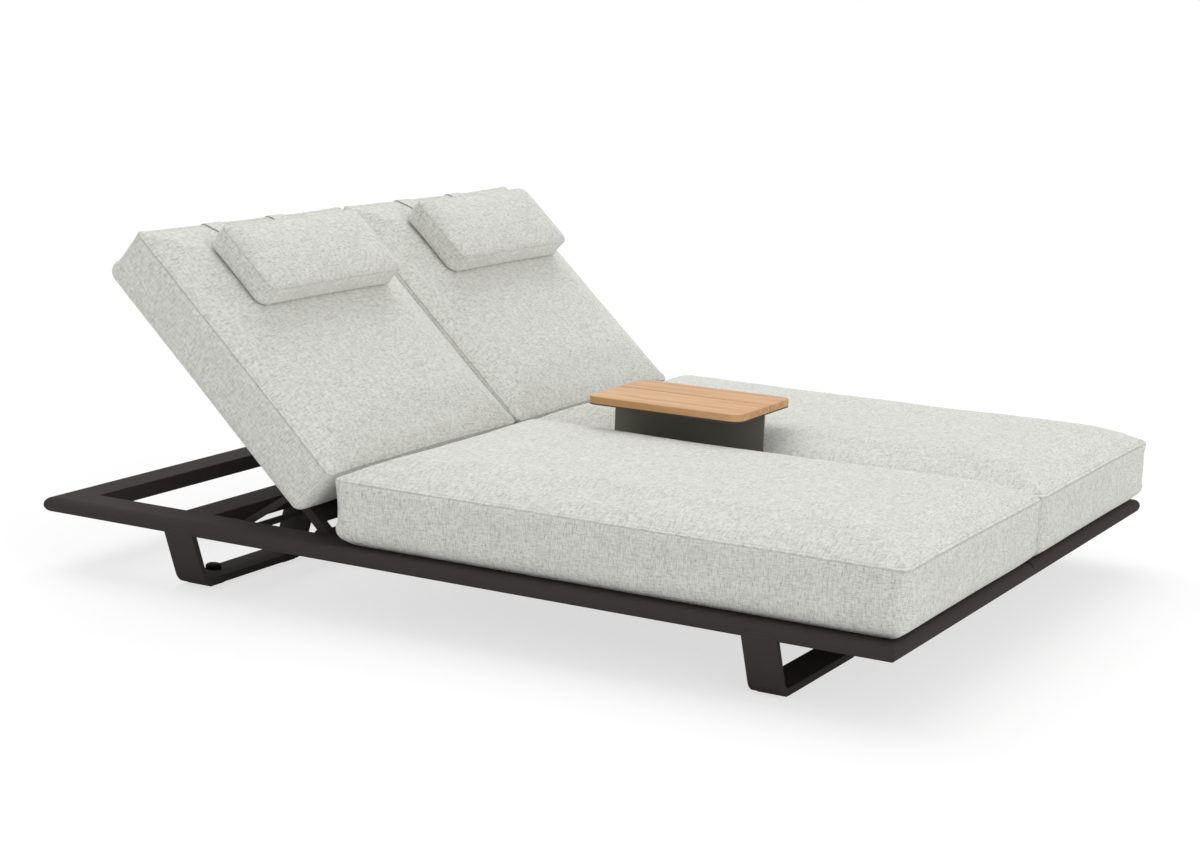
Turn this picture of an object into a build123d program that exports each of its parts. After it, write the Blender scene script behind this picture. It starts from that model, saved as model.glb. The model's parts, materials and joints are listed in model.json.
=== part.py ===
"""Double chaise lounger: two reclining halves side by side, with a small sliding table between them.

Frame: +X points to the foot end, +Y to the left of a person lying down, +Z up, floor at zero.
The right half is modelled and mirrored across the middle for the left half.
"""
from build123d import *
from math import cos, radians, sin, tan
import os

# Frame of one half
frame_length = 2000.0
half_width = 757.0
rail_width = 85.0
rail_height = 34.0
tube_wall = 3.0
leg_height = 123.0
foot_overhang = 12.0

# Cross bars, each placed by its head side
cross_bar_width = 74.0
head_bar_from_head = 326.0
hinge_bar_past_hinge = 56.0
foot_bar_from_foot = 315.0

# Seat slats
slat_width = 62.0
slat_thickness = 12.0
slat_gap = 36.0

# Floor legs, each a flat bar bent into a U
leg_bar_thickness = 15.5
leg_slope_deg = 21.5
leg_edge_inset = 6.0
leg_span = 450.0
leg_bend_radius = 22.0
leg_edge_round = 2.0
head_leg_width = 74.0
foot_leg_width = 73.0
head_leg_past_bar = 4.0
foot_leg_past_bar = 4.0
glide_thickness = 3.0
glide_length = 46.0
glide_edge = 6.0
buffer_radius = 17.0
buffer_height = 11.0
buffer_from_edge = 150.0

# Backrest frame, drawn lying flat with its hinge as the zero of length and height
back_angle_deg = 42.5
hinge_from_head = 666.0
tube_size = 20.0
tube_skin = 2.0
tube_from_rail = 4.0
back_rest_gap = 0.5
back_tail = 20.0
back_length = 727.3
back_slat_width = 56.0
back_slat_thickness = 6.0
back_slat_gap = 14.0
hinge_pin_radius = 6.0
hinge_running_gap = 0.05
hinge_lug_thickness = 6.0
hinge_lug_radius = 15.0
pin_head_radius = 9.0
pin_head_thickness = 4.0
washer_gap = 0.5

# Prop that holds the backrest up
prop_rod_radius = 7.5
prop_pivot_past_bar = 24.0
prop_pivot_drop = 10.0
prop_arm_angle_deg = 33.0
prop_arm_height = 14.0
prop_arm_thickness = 8.0
prop_arm_from_rail = 5.0
prop_bracket_thickness = 8.0
prop_bracket_radius = 13.0
prop_bracket_inset = 60.0
ratchet_radius = 17.0
ratchet_thickness = 24.0
prop_pad_length = 24.0
prop_pad_thickness = 3.0
prop_pad_gap = 0.6

# Cushions
cushion_clearance = 0.3
cushion_outer_inset = 9.0
cushion_middle_gap = 3.0
cushion_edge_radius = 28.0
cushion_corner_radius = 34.0
cushion_seam_draw = 4.0
boxing_height = 136.0
seat_from_back = 4.0
seat_crown = 40.0
back_cushion_start = 42.9
back_crown = 34.0
crown_reach = 200.0
edge_steps = 4
side_height_share = 0.45
crown_rise_shares = [(0.02, 0.22), (0.045, 0.45), (0.10, 0.70), (0.22, 0.84), (0.50, 0.95), (0.85, 1.0)]

# Headrest pillow and its straps
pillow_width = 504.0
pillow_length = 196.0
pillow_from_top = 82.0
pillow_boxing = 44.0
pillow_crown = 20.0
pillow_edge_radius = 20.0
pillow_corner_radius = 30.0
pillow_crown_reach = 68.0
strap_width = 60.0
strap_thickness = 2.5
strap_spacing = 230.0
strap_tuck = 40.0

# Side table
table_length = 374.0
table_width = 270.0
tray_above_seat = 60.5
table_from_seat = 245.5
table_corner_radius = 25.0
plank_thickness = 15.0
plank_edge_round = 1.5
plank_gap = 4.0
plank_split_share = 0.57
tray_thickness = 3.0
panel_length = 368.0
keel_width = 28.0
keel_height = 12.0
keel_depth = 8.0
slide_clearance = 0.3
table_screw_radius = 2.5
table_screw_head = 5.0
table_screw_head_height = 2.5
table_screw_bite = 9.0
table_screw_inset = 45.0
table_screws_per_row = 3

# Plates and screws that join the two halves
plate_length = 120.0
plate_width = 110.0
plate_thickness = 4.0
plate_centre_shares = [0.12, 0.48, 0.90]
screw_radius = 4.0
screw_head_radius = 7.0
screw_head_height = 4.0
screw_bite = 6.0
screw_hole_gap = 0.1
screw_edge = 22.0

# A cut runs this far past the faces that it opens
overrun = 1.0

# Places that follow from the sizes above
head_x = -(frame_length + foot_overhang) / 2
foot_x = head_x + frame_length
rail_z = leg_height
rail_top = rail_z + rail_height
rail_mid = rail_z + rail_height / 2
hinge_x = head_x + hinge_from_head
hinge_z = rail_mid
back_bottom = rail_top + back_rest_gap - hinge_z
back_top = back_bottom + tube_size
tube_edge = rail_width + tube_from_rail
head_bar_x = head_x + head_bar_from_head
hinge_bar_x = hinge_x + hinge_bar_past_hinge
foot_bar_x = foot_x - foot_bar_from_foot
head_leg_x = head_bar_x + head_leg_past_bar
foot_leg_x = foot_bar_x + foot_leg_past_bar
prop_x = head_bar_x + cross_bar_width + prop_pivot_past_bar
prop_z = rail_z - prop_pivot_drop
cushion_width = half_width - cushion_outer_inset - cushion_middle_gap
cushion_mid_y = -half_width + cushion_outer_inset + cushion_width / 2
seat_bottom = rail_top + cushion_clearance
tray_bottom = seat_bottom + boxing_height + seat_crown + tray_above_seat
plank_bottom = tray_bottom + tray_thickness


def y_at(inset):
    """Y of a point that lies this far in from the right half's outer edge."""
    return inset - half_width


def in_back(x, z):
    """Distance along the backrest and square to it, from the hinge, of a point beside the lounger."""
    angle = radians(back_angle_deg)
    along = (x - hinge_x) * cos(angle) - (z - hinge_z) * sin(angle)
    across = (x - hinge_x) * sin(angle) + (z - hinge_z) * cos(angle)
    return along, across


def prop_arm_length():
    """Length at which the rest bar just clears the pads under the side tubes."""
    bar_place = back_bottom - prop_pad_thickness - prop_pad_gap - prop_rod_radius
    return (bar_place - in_back(prop_x, prop_z)[1]) / sin(radians(prop_arm_angle_deg + back_angle_deg))


def rest_bar_place():
    """X and Z of the rest bar between the arms' upper ends."""
    angle = radians(prop_arm_angle_deg)
    return prop_x + prop_arm_length() * cos(angle), prop_z + prop_arm_length() * sin(angle)


def block(x_range, y_range, z_range):
    """Box between two corners."""
    size = [high - low for low, high in (x_range, y_range, z_range)]
    centre = [(high + low) / 2 for low, high in (x_range, y_range, z_range)]
    return Pos(*centre) * Box(*size)


def rod(radius, x, z, y_range):
    """Round bar along Y."""
    length = y_range[1] - y_range[0]
    middle = (y_range[0] + y_range[1]) / 2
    return Pos(x, middle, z) * Rot(90, 0, 0) * Cylinder(radius, length)


def group(solids):
    """Separate solids that share one node."""
    return Compound(children=[piece.solid() for piece in solids])


def d_section(inset):
    """Rail section in the YZ plane: round at its outer side, square at its inner side."""
    radius = rail_height / 2
    low = inset
    high = rail_height - inset
    far = rail_width - inset
    outline = [
        Line((radius, low), (far, low)),
        Line((far, low), (far, high)),
        Line((far, high), (radius, high)),
        ThreePointArc((radius, high), (inset, radius), (radius, low)),
    ]
    return Plane.YZ * make_face(Curve() + outline)


def mitred_rail(length):
    """Hollow rail along X with both ends cut at 45 degrees, round side at Y zero."""
    bar = extrude(d_section(0) - d_section(tube_wall), length)
    corners = [(0, 0), (length, 0), (length - rail_width, rail_width), (rail_width, rail_width)]
    plan = make_face(Polyline(*corners, close=True))
    return bar & extrude(plan, rail_height)


def solid_rail(length):
    """The rail's outer shape as a full bar, for cutting what meets it."""
    return extrude(d_section(0), length)


def square_tube(x_range, y_range, z_range, wall, along):
    """Hollow rectangular tube, open at the two ends of its run along X or Y."""
    core = []
    for axis, (low, high) in zip("XYZ", (x_range, y_range, z_range)):
        core.append((low - overrun, high + overrun) if axis == along else (low + wall, high - wall))
    return block(x_range, y_range, z_range) - block(*core)


def raised(shape):
    """Turn a piece of the flat backrest up to the angle at which it rests."""
    return Pos(hinge_x, 0, hinge_z) * Rot(0, back_angle_deg, 0) * shape


def joining_plate_places():
    """X of the middle of each joining plate."""
    return [head_x + share * frame_length for share in plate_centre_shares]


def joining_screw_places():
    """X and Y of each screw under the right half's inner rail."""
    reach = plate_length / 2 - screw_edge
    y = -plate_width / 2 + screw_edge
    return [(x + step, y) for x in joining_plate_places() for step in (-reach, reach)]


def frame_rails():
    """The four mitred rails round one half."""
    inner = Pos(head_x, 0, rail_z) * mirror(mitred_rail(frame_length), Plane.XZ)
    for x, y in joining_screw_places():
        inner -= Pos(x, y, rail_z) * Cylinder(screw_radius + screw_hole_gap, 2 * (tube_wall + overrun))
    return {
        "outer_side_rail": Pos(head_x, y_at(0), rail_z) * mitred_rail(frame_length),
        "inner_side_rail": inner,
        "head_rail": Pos(head_x, y_at(half_width), rail_z) * Rot(0, 0, -90) * mitred_rail(half_width),
        "foot_rail": Pos(foot_x, y_at(0), rail_z) * Rot(0, 0, 90) * mitred_rail(half_width),
    }


def cross_bar(x):
    """Square-edged tube between the side rails."""
    y_range = (y_at(rail_width), y_at(half_width - rail_width))
    return square_tube((x, x + cross_bar_width), y_range, (rail_z, rail_top), tube_wall, "Y")


def slat_row(start, end):
    """Flat slats across the seat between two X places, evenly spaced."""
    count = int((end - start - slat_gap) // (slat_width + slat_gap))
    gap = (end - start - count * slat_width) / (count + 1)
    slats = []
    for index in range(count):
        x = start + gap + index * (slat_width + gap)
        y_range = (y_at(rail_width), y_at(half_width - rail_width))
        slats.append(block((x, x + slat_width), y_range, (rail_top - slat_thickness, rail_top)))
    return slats


def seat_slats():
    """All slats of the seat, on both sides of the foot cross bar."""
    main_row = slat_row(hinge_bar_x + cross_bar_width, foot_bar_x)
    end_row = slat_row(foot_bar_x + cross_bar_width, foot_x - rail_width)
    return group(main_row + end_row)


def u_leg(x, width):
    """Flat bar bent into a U: two posts that lean inward, joined by a bar along the floor."""
    slope = tan(radians(leg_slope_deg))
    top = rail_mid
    low = glide_thickness
    post_width = leg_bar_thickness / cos(radians(leg_slope_deg))

    def outline(inset, bottom, radius):
        near = y_at(leg_edge_inset) + inset
        far = y_at(leg_edge_inset + leg_span) - inset
        rise = (top - rail_z) * slope
        drop = (rail_z - bottom) * slope
        points = [(near - rise, top), (near + drop, bottom), (far - drop, bottom), (far + rise, top)]
        return FilletPolyline(*points, radius=radius)

    outer = outline(0, low, leg_bend_radius + leg_bar_thickness)
    inner = outline(post_width, low + leg_bar_thickness, leg_bend_radius)
    ends = [Line(outer @ 0, inner @ 0), Line(outer @ 1, inner @ 1)]
    section = Plane.YZ * make_face(Curve() + [outer, inner] + ends)
    bent_bar = extrude(section, width)
    side_faces = bent_bar.faces().filter_by(Axis.X)
    leg = Pos(x, 0, 0) * fillet(side_faces.edges(), leg_edge_round)
    above_bar = block((head_x, foot_x), (y_at(rail_width), 0), (rail_z, rail_top))
    outer_rail = Pos(head_x, y_at(0), rail_z) * solid_rail(frame_length)
    return leg - above_bar - outer_rail


def floor_run():
    """Y range of a leg's flat underside."""
    drop = (rail_z - glide_thickness) * tan(radians(leg_slope_deg))
    bend = (leg_bend_radius + leg_bar_thickness) * tan(radians((90 - leg_slope_deg) / 2))
    start = y_at(leg_edge_inset) + drop + bend
    end = y_at(leg_edge_inset + leg_span) - drop - bend
    return start, end


def leg_glides():
    """Plastic pads under both legs of one half."""
    start, end = floor_run()
    glides = []
    for x, width in ((head_leg_x, head_leg_width), (foot_leg_x, foot_leg_width)):
        x_range = (x + glide_edge, x + width - glide_edge)
        for y_range in ((start, start + glide_length), (end - glide_length, end)):
            glides.append(block(x_range, y_range, (0, glide_thickness)))
    return glides


def leg_buffer():
    """Domed rubber buffer on the floor bar of the head leg."""
    x = head_leg_x + buffer_radius + leg_edge_round
    z = glide_thickness + leg_bar_thickness
    puck = Cylinder(buffer_radius, buffer_height, align=(Align.CENTER, Align.CENTER, Align.MIN))
    domed = fillet(puck.edges().group_by(Axis.Z)[-1], buffer_height / 2)
    return Pos(x, y_at(buffer_from_edge), z) * domed


def prop_bracket(radius, thickness, inset):
    """Bracket on the head cross bar that carries the prop's pivot rod."""
    bar_face = head_bar_x + cross_bar_width
    y_range = (y_at(inset) - thickness / 2, y_at(inset) + thickness / 2)
    body = block((bar_face, prop_x), y_range, (prop_z - radius, rail_mid))
    body -= block((prop_x - radius / 2, prop_x + overrun), (y_range[0] - overrun, y_range[1] + overrun),
                  (prop_z + radius / 2, rail_top))
    body += rod(radius, prop_x, prop_z, y_range)
    bore = (y_range[0] - overrun, y_range[1] + overrun)
    return body - rod(prop_rod_radius + hinge_running_gap, prop_x, prop_z, bore)


def prop_brackets():
    """Two end brackets and the ratchet housing in the middle of the pivot rod."""
    ends = [rail_width + prop_bracket_inset, half_width - rail_width - prop_bracket_inset]
    solids = [prop_bracket(prop_bracket_radius, prop_bracket_thickness, inset) for inset in ends]
    solids.append(prop_bracket(ratchet_radius, ratchet_thickness, half_width / 2))
    return group(solids)


def prop_arm_edges():
    """Insets of the outer faces of the two prop arms."""
    near = rail_width + prop_arm_from_rail
    return near, half_width - near


def prop_arms():
    """Two flat arms with round ends, from the pivot rod up to the rest bar."""
    near, far = prop_arm_edges()
    flat = Pos(prop_x, 0, prop_z) * Rot(0, -prop_arm_angle_deg, 0)
    middle = prop_arm_length() / 2
    arms = []
    for start in (near, far - prop_arm_thickness):
        slot = Rot(90, 0, 0) * SlotCenterToCenter(prop_arm_length(), prop_arm_height)
        arm = flat * Pos(middle, y_at(start), 0) * extrude(slot, prop_arm_thickness, dir=(0, 1, 0))
        arms.append(arm)
    return group(arms)


def prop_bar_range():
    """Y range of the round bars between the prop arms."""
    near, far = prop_arm_edges()
    return y_at(near + prop_arm_thickness), y_at(far - prop_arm_thickness)


def back_tube_insets():
    """Insets of the outer edges of the two backrest side tubes."""
    return tube_edge, half_width - tube_edge - tube_size


def back_side_tubes():
    """Two square tubes along the backrest."""
    tubes = []
    for inset in back_tube_insets():
        x_range = (tube_size - back_length, back_tail)
        y_range = (y_at(inset), y_at(inset + tube_size))
        tubes.append(square_tube(x_range, y_range, (back_bottom, back_top), tube_skin, "X"))
    return tubes


def back_cross_tubes():
    """The tube across the top of the backrest and the one near its hinge."""
    near, far = back_tube_insets()
    heights = (back_bottom, back_top)
    top_x = (-back_length, tube_size - back_length)
    top_y = (y_at(near), y_at(far + tube_size))
    low_x = (back_tail - tube_size, back_tail)
    low_y = (y_at(near + tube_size), y_at(far))
    top = square_tube(top_x, top_y, heights, tube_skin, "Y")
    low = square_tube(low_x, low_y, heights, tube_skin, "Y")
    return [top, low]


def back_slats():
    """Close flat slats across the backrest, flush with the top of its tubes."""
    start = tube_size - back_length
    end = back_tail - tube_size
    count = int((end - start - back_slat_gap) // (back_slat_width + back_slat_gap))
    gap = (end - start - count * back_slat_width) / (count + 1)
    near, far = back_tube_insets()
    slats = []
    for index in range(count):
        x = start + gap + index * (back_slat_width + gap)
        y_range = (y_at(near + tube_size), y_at(far))
        slats.append(block((x, x + back_slat_width), y_range, (back_top - back_slat_thickness, back_top)))
    return slats


def hinge_lug_starts():
    """Y of the low side of each hinge lug."""
    near, far = back_tube_insets()
    return y_at(near), y_at(far + tube_size - hinge_lug_thickness)


def hinge_lugs():
    """Plates under the side tubes, bored for the hinge pins."""
    lugs = []
    for start in hinge_lug_starts():
        y_range = (start, start + hinge_lug_thickness)
        lug = block((-hinge_lug_radius, hinge_lug_radius), y_range, (0, back_bottom))
        lug += rod(hinge_lug_radius, 0, 0, y_range)
        bore = (y_range[0] - overrun, y_range[1] + overrun)
        lugs.append(lug - rod(hinge_pin_radius + hinge_running_gap, 0, 0, bore))
    return lugs


def hinge_pins():
    """Headed pins on the side rails' inner faces."""
    near_start, far_start = hinge_lug_starts()
    near_face = y_at(rail_width)
    near_end = near_start + hinge_lug_thickness + washer_gap
    far_face = y_at(half_width - rail_width)
    far_end = far_start - washer_gap
    far_washer = far_start + hinge_lug_thickness + washer_gap
    near_pin = rod(hinge_pin_radius, hinge_x, hinge_z, (near_face, near_end))
    near_pin += rod(pin_head_radius, hinge_x, hinge_z, (near_end, near_end + pin_head_thickness))
    near_pin += rod(pin_head_radius, hinge_x, hinge_z, (near_face, near_start - washer_gap))
    far_pin = rod(hinge_pin_radius, hinge_x, hinge_z, (far_end, far_face))
    far_pin += rod(pin_head_radius, hinge_x, hinge_z, (far_end - pin_head_thickness, far_end))
    far_pin += rod(pin_head_radius, hinge_x, hinge_z, (far_washer, far_face))
    return group([near_pin, far_pin])


def prop_pads():
    """Plastic pads under the side tubes, where the prop's rest bar bears."""
    along = in_back(*rest_bar_place())[0]
    low = back_bottom - prop_pad_thickness
    near, far = back_tube_insets()
    pads = []
    for y_range in ((prop_bar_range()[0] + washer_gap, y_at(near + tube_size)),
                    (y_at(far), prop_bar_range()[1] - washer_gap)):
        pads.append(block((along - prop_pad_length, along), y_range, (low, back_bottom)))
    return pads


def cushion_levels(edge_radius, boxing, crown, reach, seam_draw):
    """Height and inset of each outline of a cushion, from its underside to its crown."""
    levels = []
    for step in range(edge_steps + 1):
        angle = radians(90 * step / edge_steps)
        levels.append((edge_radius * (1 - cos(angle)), edge_radius * (1 - sin(angle))))
    levels.append((edge_radius + (boxing - edge_radius) * side_height_share, 0))
    levels.append((boxing, seam_draw))
    for reach_share, rise_share in crown_rise_shares:
        levels.append((boxing + rise_share * crown, seam_draw + reach_share * reach))
    return levels


def cushion(length, width, corner_radius, levels):
    """Boxed cushion with rounded lower edges, drawn-in sides and a crown."""
    sections = []
    for height, inset in levels:
        outline = RectangleRounded(length - 2 * inset, width - 2 * inset, corner_radius)
        sections.append(Pos(0, 0, height) * outline)
    return loft(sections, ruled=True)


def back_cushion_levels():
    """Outlines of the backrest cushion."""
    return cushion_levels(cushion_edge_radius, boxing_height, back_crown, crown_reach, cushion_seam_draw)


def seat_head_x():
    """X of the seat cushion's head end, just clear of the raised backrest cushion."""
    angle = radians(back_angle_deg)
    base = back_top + cushion_clearance
    reaches = []
    for height, inset in back_cushion_levels():
        reaches.append((base + height) * sin(angle) - (back_cushion_start + inset) * cos(angle))
    return hinge_x + max(reaches) + seat_from_back


def seat_cushion():
    """Long cushion on the seat slats and rails."""
    levels = cushion_levels(cushion_edge_radius, boxing_height, seat_crown, crown_reach, cushion_seam_draw)
    foot_end = foot_x + foot_overhang
    length = foot_end - seat_head_x()
    shape = cushion(length, cushion_width, cushion_corner_radius, levels)
    return Pos(foot_end - length / 2, cushion_mid_y, seat_bottom) * shape


def back_cushion():
    """Cushion on the backrest, drawn flat."""
    length = back_length - back_cushion_start
    shape = cushion(length, cushion_width, cushion_corner_radius, back_cushion_levels())
    middle = -back_cushion_start - length / 2
    return Pos(middle, cushion_mid_y, back_top + cushion_clearance) * shape


def strap_outline():
    """Side outline of the backrest cushion at its top end, where the straps lie."""
    base = back_top + cushion_clearance
    end = -back_length
    points = [(end + inset, base + height) for height, inset in back_cushion_levels() if height > 0]
    points = [(end, back_bottom)] + [point for point in points if point[1] > back_top + cushion_edge_radius]
    top = points[-1][1]
    return points + [(0, top), (0, back_bottom)]


def strap_front_end():
    """X where the straps end, under the lower part of the pillow."""
    return -back_length + pillow_from_top + pillow_length - strap_tuck


def headrest_straps():
    """Two bands over the top end of the cushion, fixed to the tube across the top."""
    core = make_face(Polyline(*strap_outline(), close=True))
    inner = offset(core, cushion_clearance, kind=Kind.INTERSECTION)
    outer = offset(core, cushion_clearance + strap_thickness, kind=Kind.INTERSECTION)
    reach = back_length + strap_thickness + 2 * cushion_clearance
    high = back_top + boxing_height + back_crown + strap_thickness + 2 * cushion_clearance
    window = Pos((strap_front_end() - reach) / 2, (back_bottom + high) / 2) * Rectangle(
        strap_front_end() + reach, high - back_bottom)
    band = (outer - inner) & window
    straps = []
    for side in (-1, 1):
        middle = cushion_mid_y + side * strap_spacing / 2
        strap = extrude(Plane.XZ * band, strap_width / 2, both=True)
        straps.append(Pos(0, middle, 0) * strap)
    return straps


def headrest_pillow():
    """Small boxed pillow that lies on the straps."""
    levels = cushion_levels(
        pillow_edge_radius, pillow_boxing, pillow_crown, pillow_crown_reach, cushion_seam_draw)
    shape = cushion(pillow_length, pillow_width, pillow_corner_radius, levels)
    x = -back_length + pillow_from_top + pillow_length / 2
    bed = back_top + boxing_height + back_crown + strap_thickness
    return Pos(x, cushion_mid_y, bed + 3 * cushion_clearance) * shape


def table_outline(inset):
    """Rounded outline of the table top, drawn in by an inset."""
    size = (table_length - 2 * inset, table_width - 2 * inset)
    return RectangleRounded(size[0], size[1], table_corner_radius - inset)


def table_screw_places():
    """X and Y of each plank screw, measured from the middle of the table."""
    reach = table_length / 2 - table_screw_inset
    step = 2 * reach / (table_screws_per_row - 1)
    rows = (-table_width / 2 + table_screw_inset, table_width / 2 - table_screw_inset)
    return [(index * step - reach, y) for index in range(table_screws_per_row) for y in rows]


def screw(shank_radius, shank_length, head_radius, head_height):
    """Screw that points up, with the underside of its head at zero."""
    shank = Cylinder(shank_radius, shank_length, align=(Align.CENTER, Align.CENTER, Align.MIN))
    head = Cylinder(head_radius, head_height, align=(Align.CENTER, Align.CENTER, Align.MAX))
    return shank + head


def eased(plank):
    """The plank with its upper edges rounded over."""
    return fillet(plank.faces().sort_by(Axis.Z)[-1].edges(), plank_edge_round)


def table_pieces():
    """Planks, tray, panel, keel and screws of the side table."""
    x = seat_head_x() + table_from_seat + table_length / 2
    split = -table_width / 2 + plank_split_share * table_width
    slab = extrude(table_outline(0), plank_thickness)
    x_zone = (-table_length, table_length)
    wide_zone = block(x_zone, (-table_width, split - plank_gap / 2), (0, plank_thickness))
    narrow_zone = block(x_zone, (split + plank_gap / 2, table_width), (0, plank_thickness))
    tray = extrude(table_outline(0), tray_thickness)
    screws = []
    pilot = table_screw_radius
    for sx, sy in table_screw_places():
        place = Pos(sx, sy, 0)
        screws.append(place * screw(
            pilot, tray_thickness + table_screw_bite, table_screw_head, table_screw_head_height))
        tray -= place * Cylinder(pilot, 2 * (tray_thickness + overrun))
        slab -= place * Cylinder(pilot, 2 * table_screw_bite)
    keel_bottom = rail_top - keel_depth
    keel = block((-panel_length / 2, panel_length / 2), (-keel_width / 2, keel_width / 2),
                 (keel_bottom, keel_bottom + keel_height))
    for side in (-1, 1):
        rail = rod_along_x(rail_height / 2 + slide_clearance, side * rail_height / 2, rail_mid)
        keel -= rail
    panel = block((-panel_length / 2, panel_length / 2), (-tray_thickness / 2, tray_thickness / 2),
                  (keel_bottom + keel_height, tray_bottom))
    return {
        "table_wide_plank": Pos(x, 0, plank_bottom) * eased(slab & wide_zone),
        "table_narrow_plank": Pos(x, 0, plank_bottom) * eased(slab & narrow_zone),
        "table_tray": Pos(x, 0, tray_bottom) * tray,
        "table_panel": Pos(x, 0, 0) * panel,
        "table_keel": Pos(x, 0, 0) * keel,
        "table_screws": group([Pos(x, 0, tray_bottom) * piece for piece in screws]),
    }


def rod_along_x(radius, y, z):
    """Round bar along X, as long as the table."""
    return Pos(0, y, z) * Rot(0, 90, 0) * Cylinder(radius, table_length)


def joining_pieces():
    """Plates under the two inner rails and the screws that hold them."""
    plates = []
    for x in joining_plate_places():
        x_range = (x - plate_length / 2, x + plate_length / 2)
        plate = block(x_range, (-plate_width / 2, plate_width / 2), (rail_z - plate_thickness, rail_z))
        plates.append(plate)
    screws = []
    for x, near_y in joining_screw_places():
        for y in (near_y, -near_y):
            bore = Cylinder(screw_radius + screw_hole_gap, 2 * (plate_thickness + overrun))
            plates = [plate - Pos(x, y, rail_z) * bore for plate in plates]
            place = Pos(x, y, rail_z - plate_thickness)
            screws.append(place * screw(
                screw_radius, plate_thickness + screw_bite, screw_head_radius, screw_head_height))
    return {"joining_plates": group(plates), "joining_screws": group(screws)}


def right_half():
    """Every node of the right half."""
    pieces = frame_rails()
    pieces["head_cross_bar"] = cross_bar(head_bar_x)
    pieces["hinge_cross_bar"] = cross_bar(hinge_bar_x)
    pieces["foot_cross_bar"] = cross_bar(foot_bar_x)
    pieces["seat_slats"] = seat_slats()
    pieces["head_leg"] = u_leg(head_leg_x, head_leg_width)
    pieces["foot_leg"] = u_leg(foot_leg_x, foot_leg_width)
    pieces["hinge_pins"] = hinge_pins()
    pieces["prop_brackets"] = prop_brackets()
    pieces["prop_pivot_rod"] = rod(prop_rod_radius, prop_x, prop_z, prop_bar_range())
    pieces["prop_rest_bar"] = rod(prop_rod_radius, *rest_bar_place(), prop_bar_range())
    pieces["prop_arms"] = prop_arms()
    pieces["back_side_tubes"] = group([raised(tube) for tube in back_side_tubes()])
    pieces["back_cross_tubes"] = group([raised(tube) for tube in back_cross_tubes()])
    pieces["back_slats"] = group([raised(slat) for slat in back_slats()])
    pieces["back_hinge_lugs"] = group([raised(lug) for lug in hinge_lugs()])
    pieces["prop_pads"] = group([raised(pad) for pad in prop_pads()])
    pieces["seat_cushion"] = seat_cushion()
    pieces["back_cushion"] = raised(back_cushion())
    pieces["headrest_pillow"] = raised(headrest_pillow())
    pieces["headrest_straps"] = group([raised(strap) for strap in headrest_straps()])
    return pieces


def mirrored(shape):
    """The same piece on the other side of the middle plane."""
    flipped = mirror(shape, Plane.XZ)
    return group(flipped.solids()) if len(flipped.solids()) > 1 else flipped


def build():
    """All nodes of the lounger by name."""
    nodes = {}
    for name, shape in right_half().items():
        nodes["right_" + name] = shape
        nodes["left_" + name] = mirrored(shape)
    glides = leg_glides()
    nodes["leg_glides"] = group(glides + [mirror(glide, Plane.XZ) for glide in glides])
    nodes["head_leg_buffers"] = group([leg_buffer(), mirror(leg_buffer(), Plane.XZ)])
    nodes.update(table_pieces())
    nodes.update(joining_pieces())
    return nodes


os.makedirs("parts", exist_ok=True)
for node_name, node_shape in build().items():
    export_step(node_shape, f"parts/{node_name}.step")
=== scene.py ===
"""Double chaise lounger: cloth, coated metal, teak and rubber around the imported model.

Sizes are in metres. +X points to the foot end, +Y to the left of a person lying down, +Z up,
and the floor is at zero. The backrests are drawn flat beside their hinge and then raised.
"""
import json
import logging
import math
from dataclasses import dataclass, field
from enum import Enum
from typing import Sequence

import bmesh
import bpy
import numpy as np
from mathutils import Euler, Matrix, Vector, noise
from mathutils.bvhtree import BVHTree
from mathutils.kdtree import KDTree


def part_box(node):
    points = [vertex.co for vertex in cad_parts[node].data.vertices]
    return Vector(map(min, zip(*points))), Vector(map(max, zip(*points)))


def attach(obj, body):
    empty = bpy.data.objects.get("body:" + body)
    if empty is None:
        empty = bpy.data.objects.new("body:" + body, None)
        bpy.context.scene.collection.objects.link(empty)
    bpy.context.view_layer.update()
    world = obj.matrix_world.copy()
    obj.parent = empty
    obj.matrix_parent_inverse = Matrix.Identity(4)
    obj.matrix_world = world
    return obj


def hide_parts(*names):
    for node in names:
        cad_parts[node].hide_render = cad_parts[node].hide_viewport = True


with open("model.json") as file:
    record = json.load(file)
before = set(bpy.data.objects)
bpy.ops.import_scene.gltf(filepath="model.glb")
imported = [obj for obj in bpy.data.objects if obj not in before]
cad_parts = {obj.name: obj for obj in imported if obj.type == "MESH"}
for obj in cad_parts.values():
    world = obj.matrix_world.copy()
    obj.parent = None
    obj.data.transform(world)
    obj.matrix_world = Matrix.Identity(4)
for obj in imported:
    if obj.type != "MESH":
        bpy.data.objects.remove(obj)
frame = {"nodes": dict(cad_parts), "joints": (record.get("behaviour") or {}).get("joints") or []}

log = logging.getLogger("lounger")
NUMBER, VECTOR, COLOUR = "NodeSocketFloat", "NodeSocketVector", "NodeSocketColor"
UP, DOWN = Vector((0, 0, 1)), Vector((0, 0, -1))


class Half(Enum):
    """The two halves of the lounger, with the side of the middle plane that each lies on."""

    RIGHT = -1
    LEFT = 1

    @property
    def prefix(self) -> str:
        """Start of this half's node and body names."""
        return self.name.lower()

    @property
    def wave_seed(self) -> float:
        """Offset that keeps the waves of the two halves' cushions unlike."""
        return 11.3 if self is Half.RIGHT else 47.9


# Node trees


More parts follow.
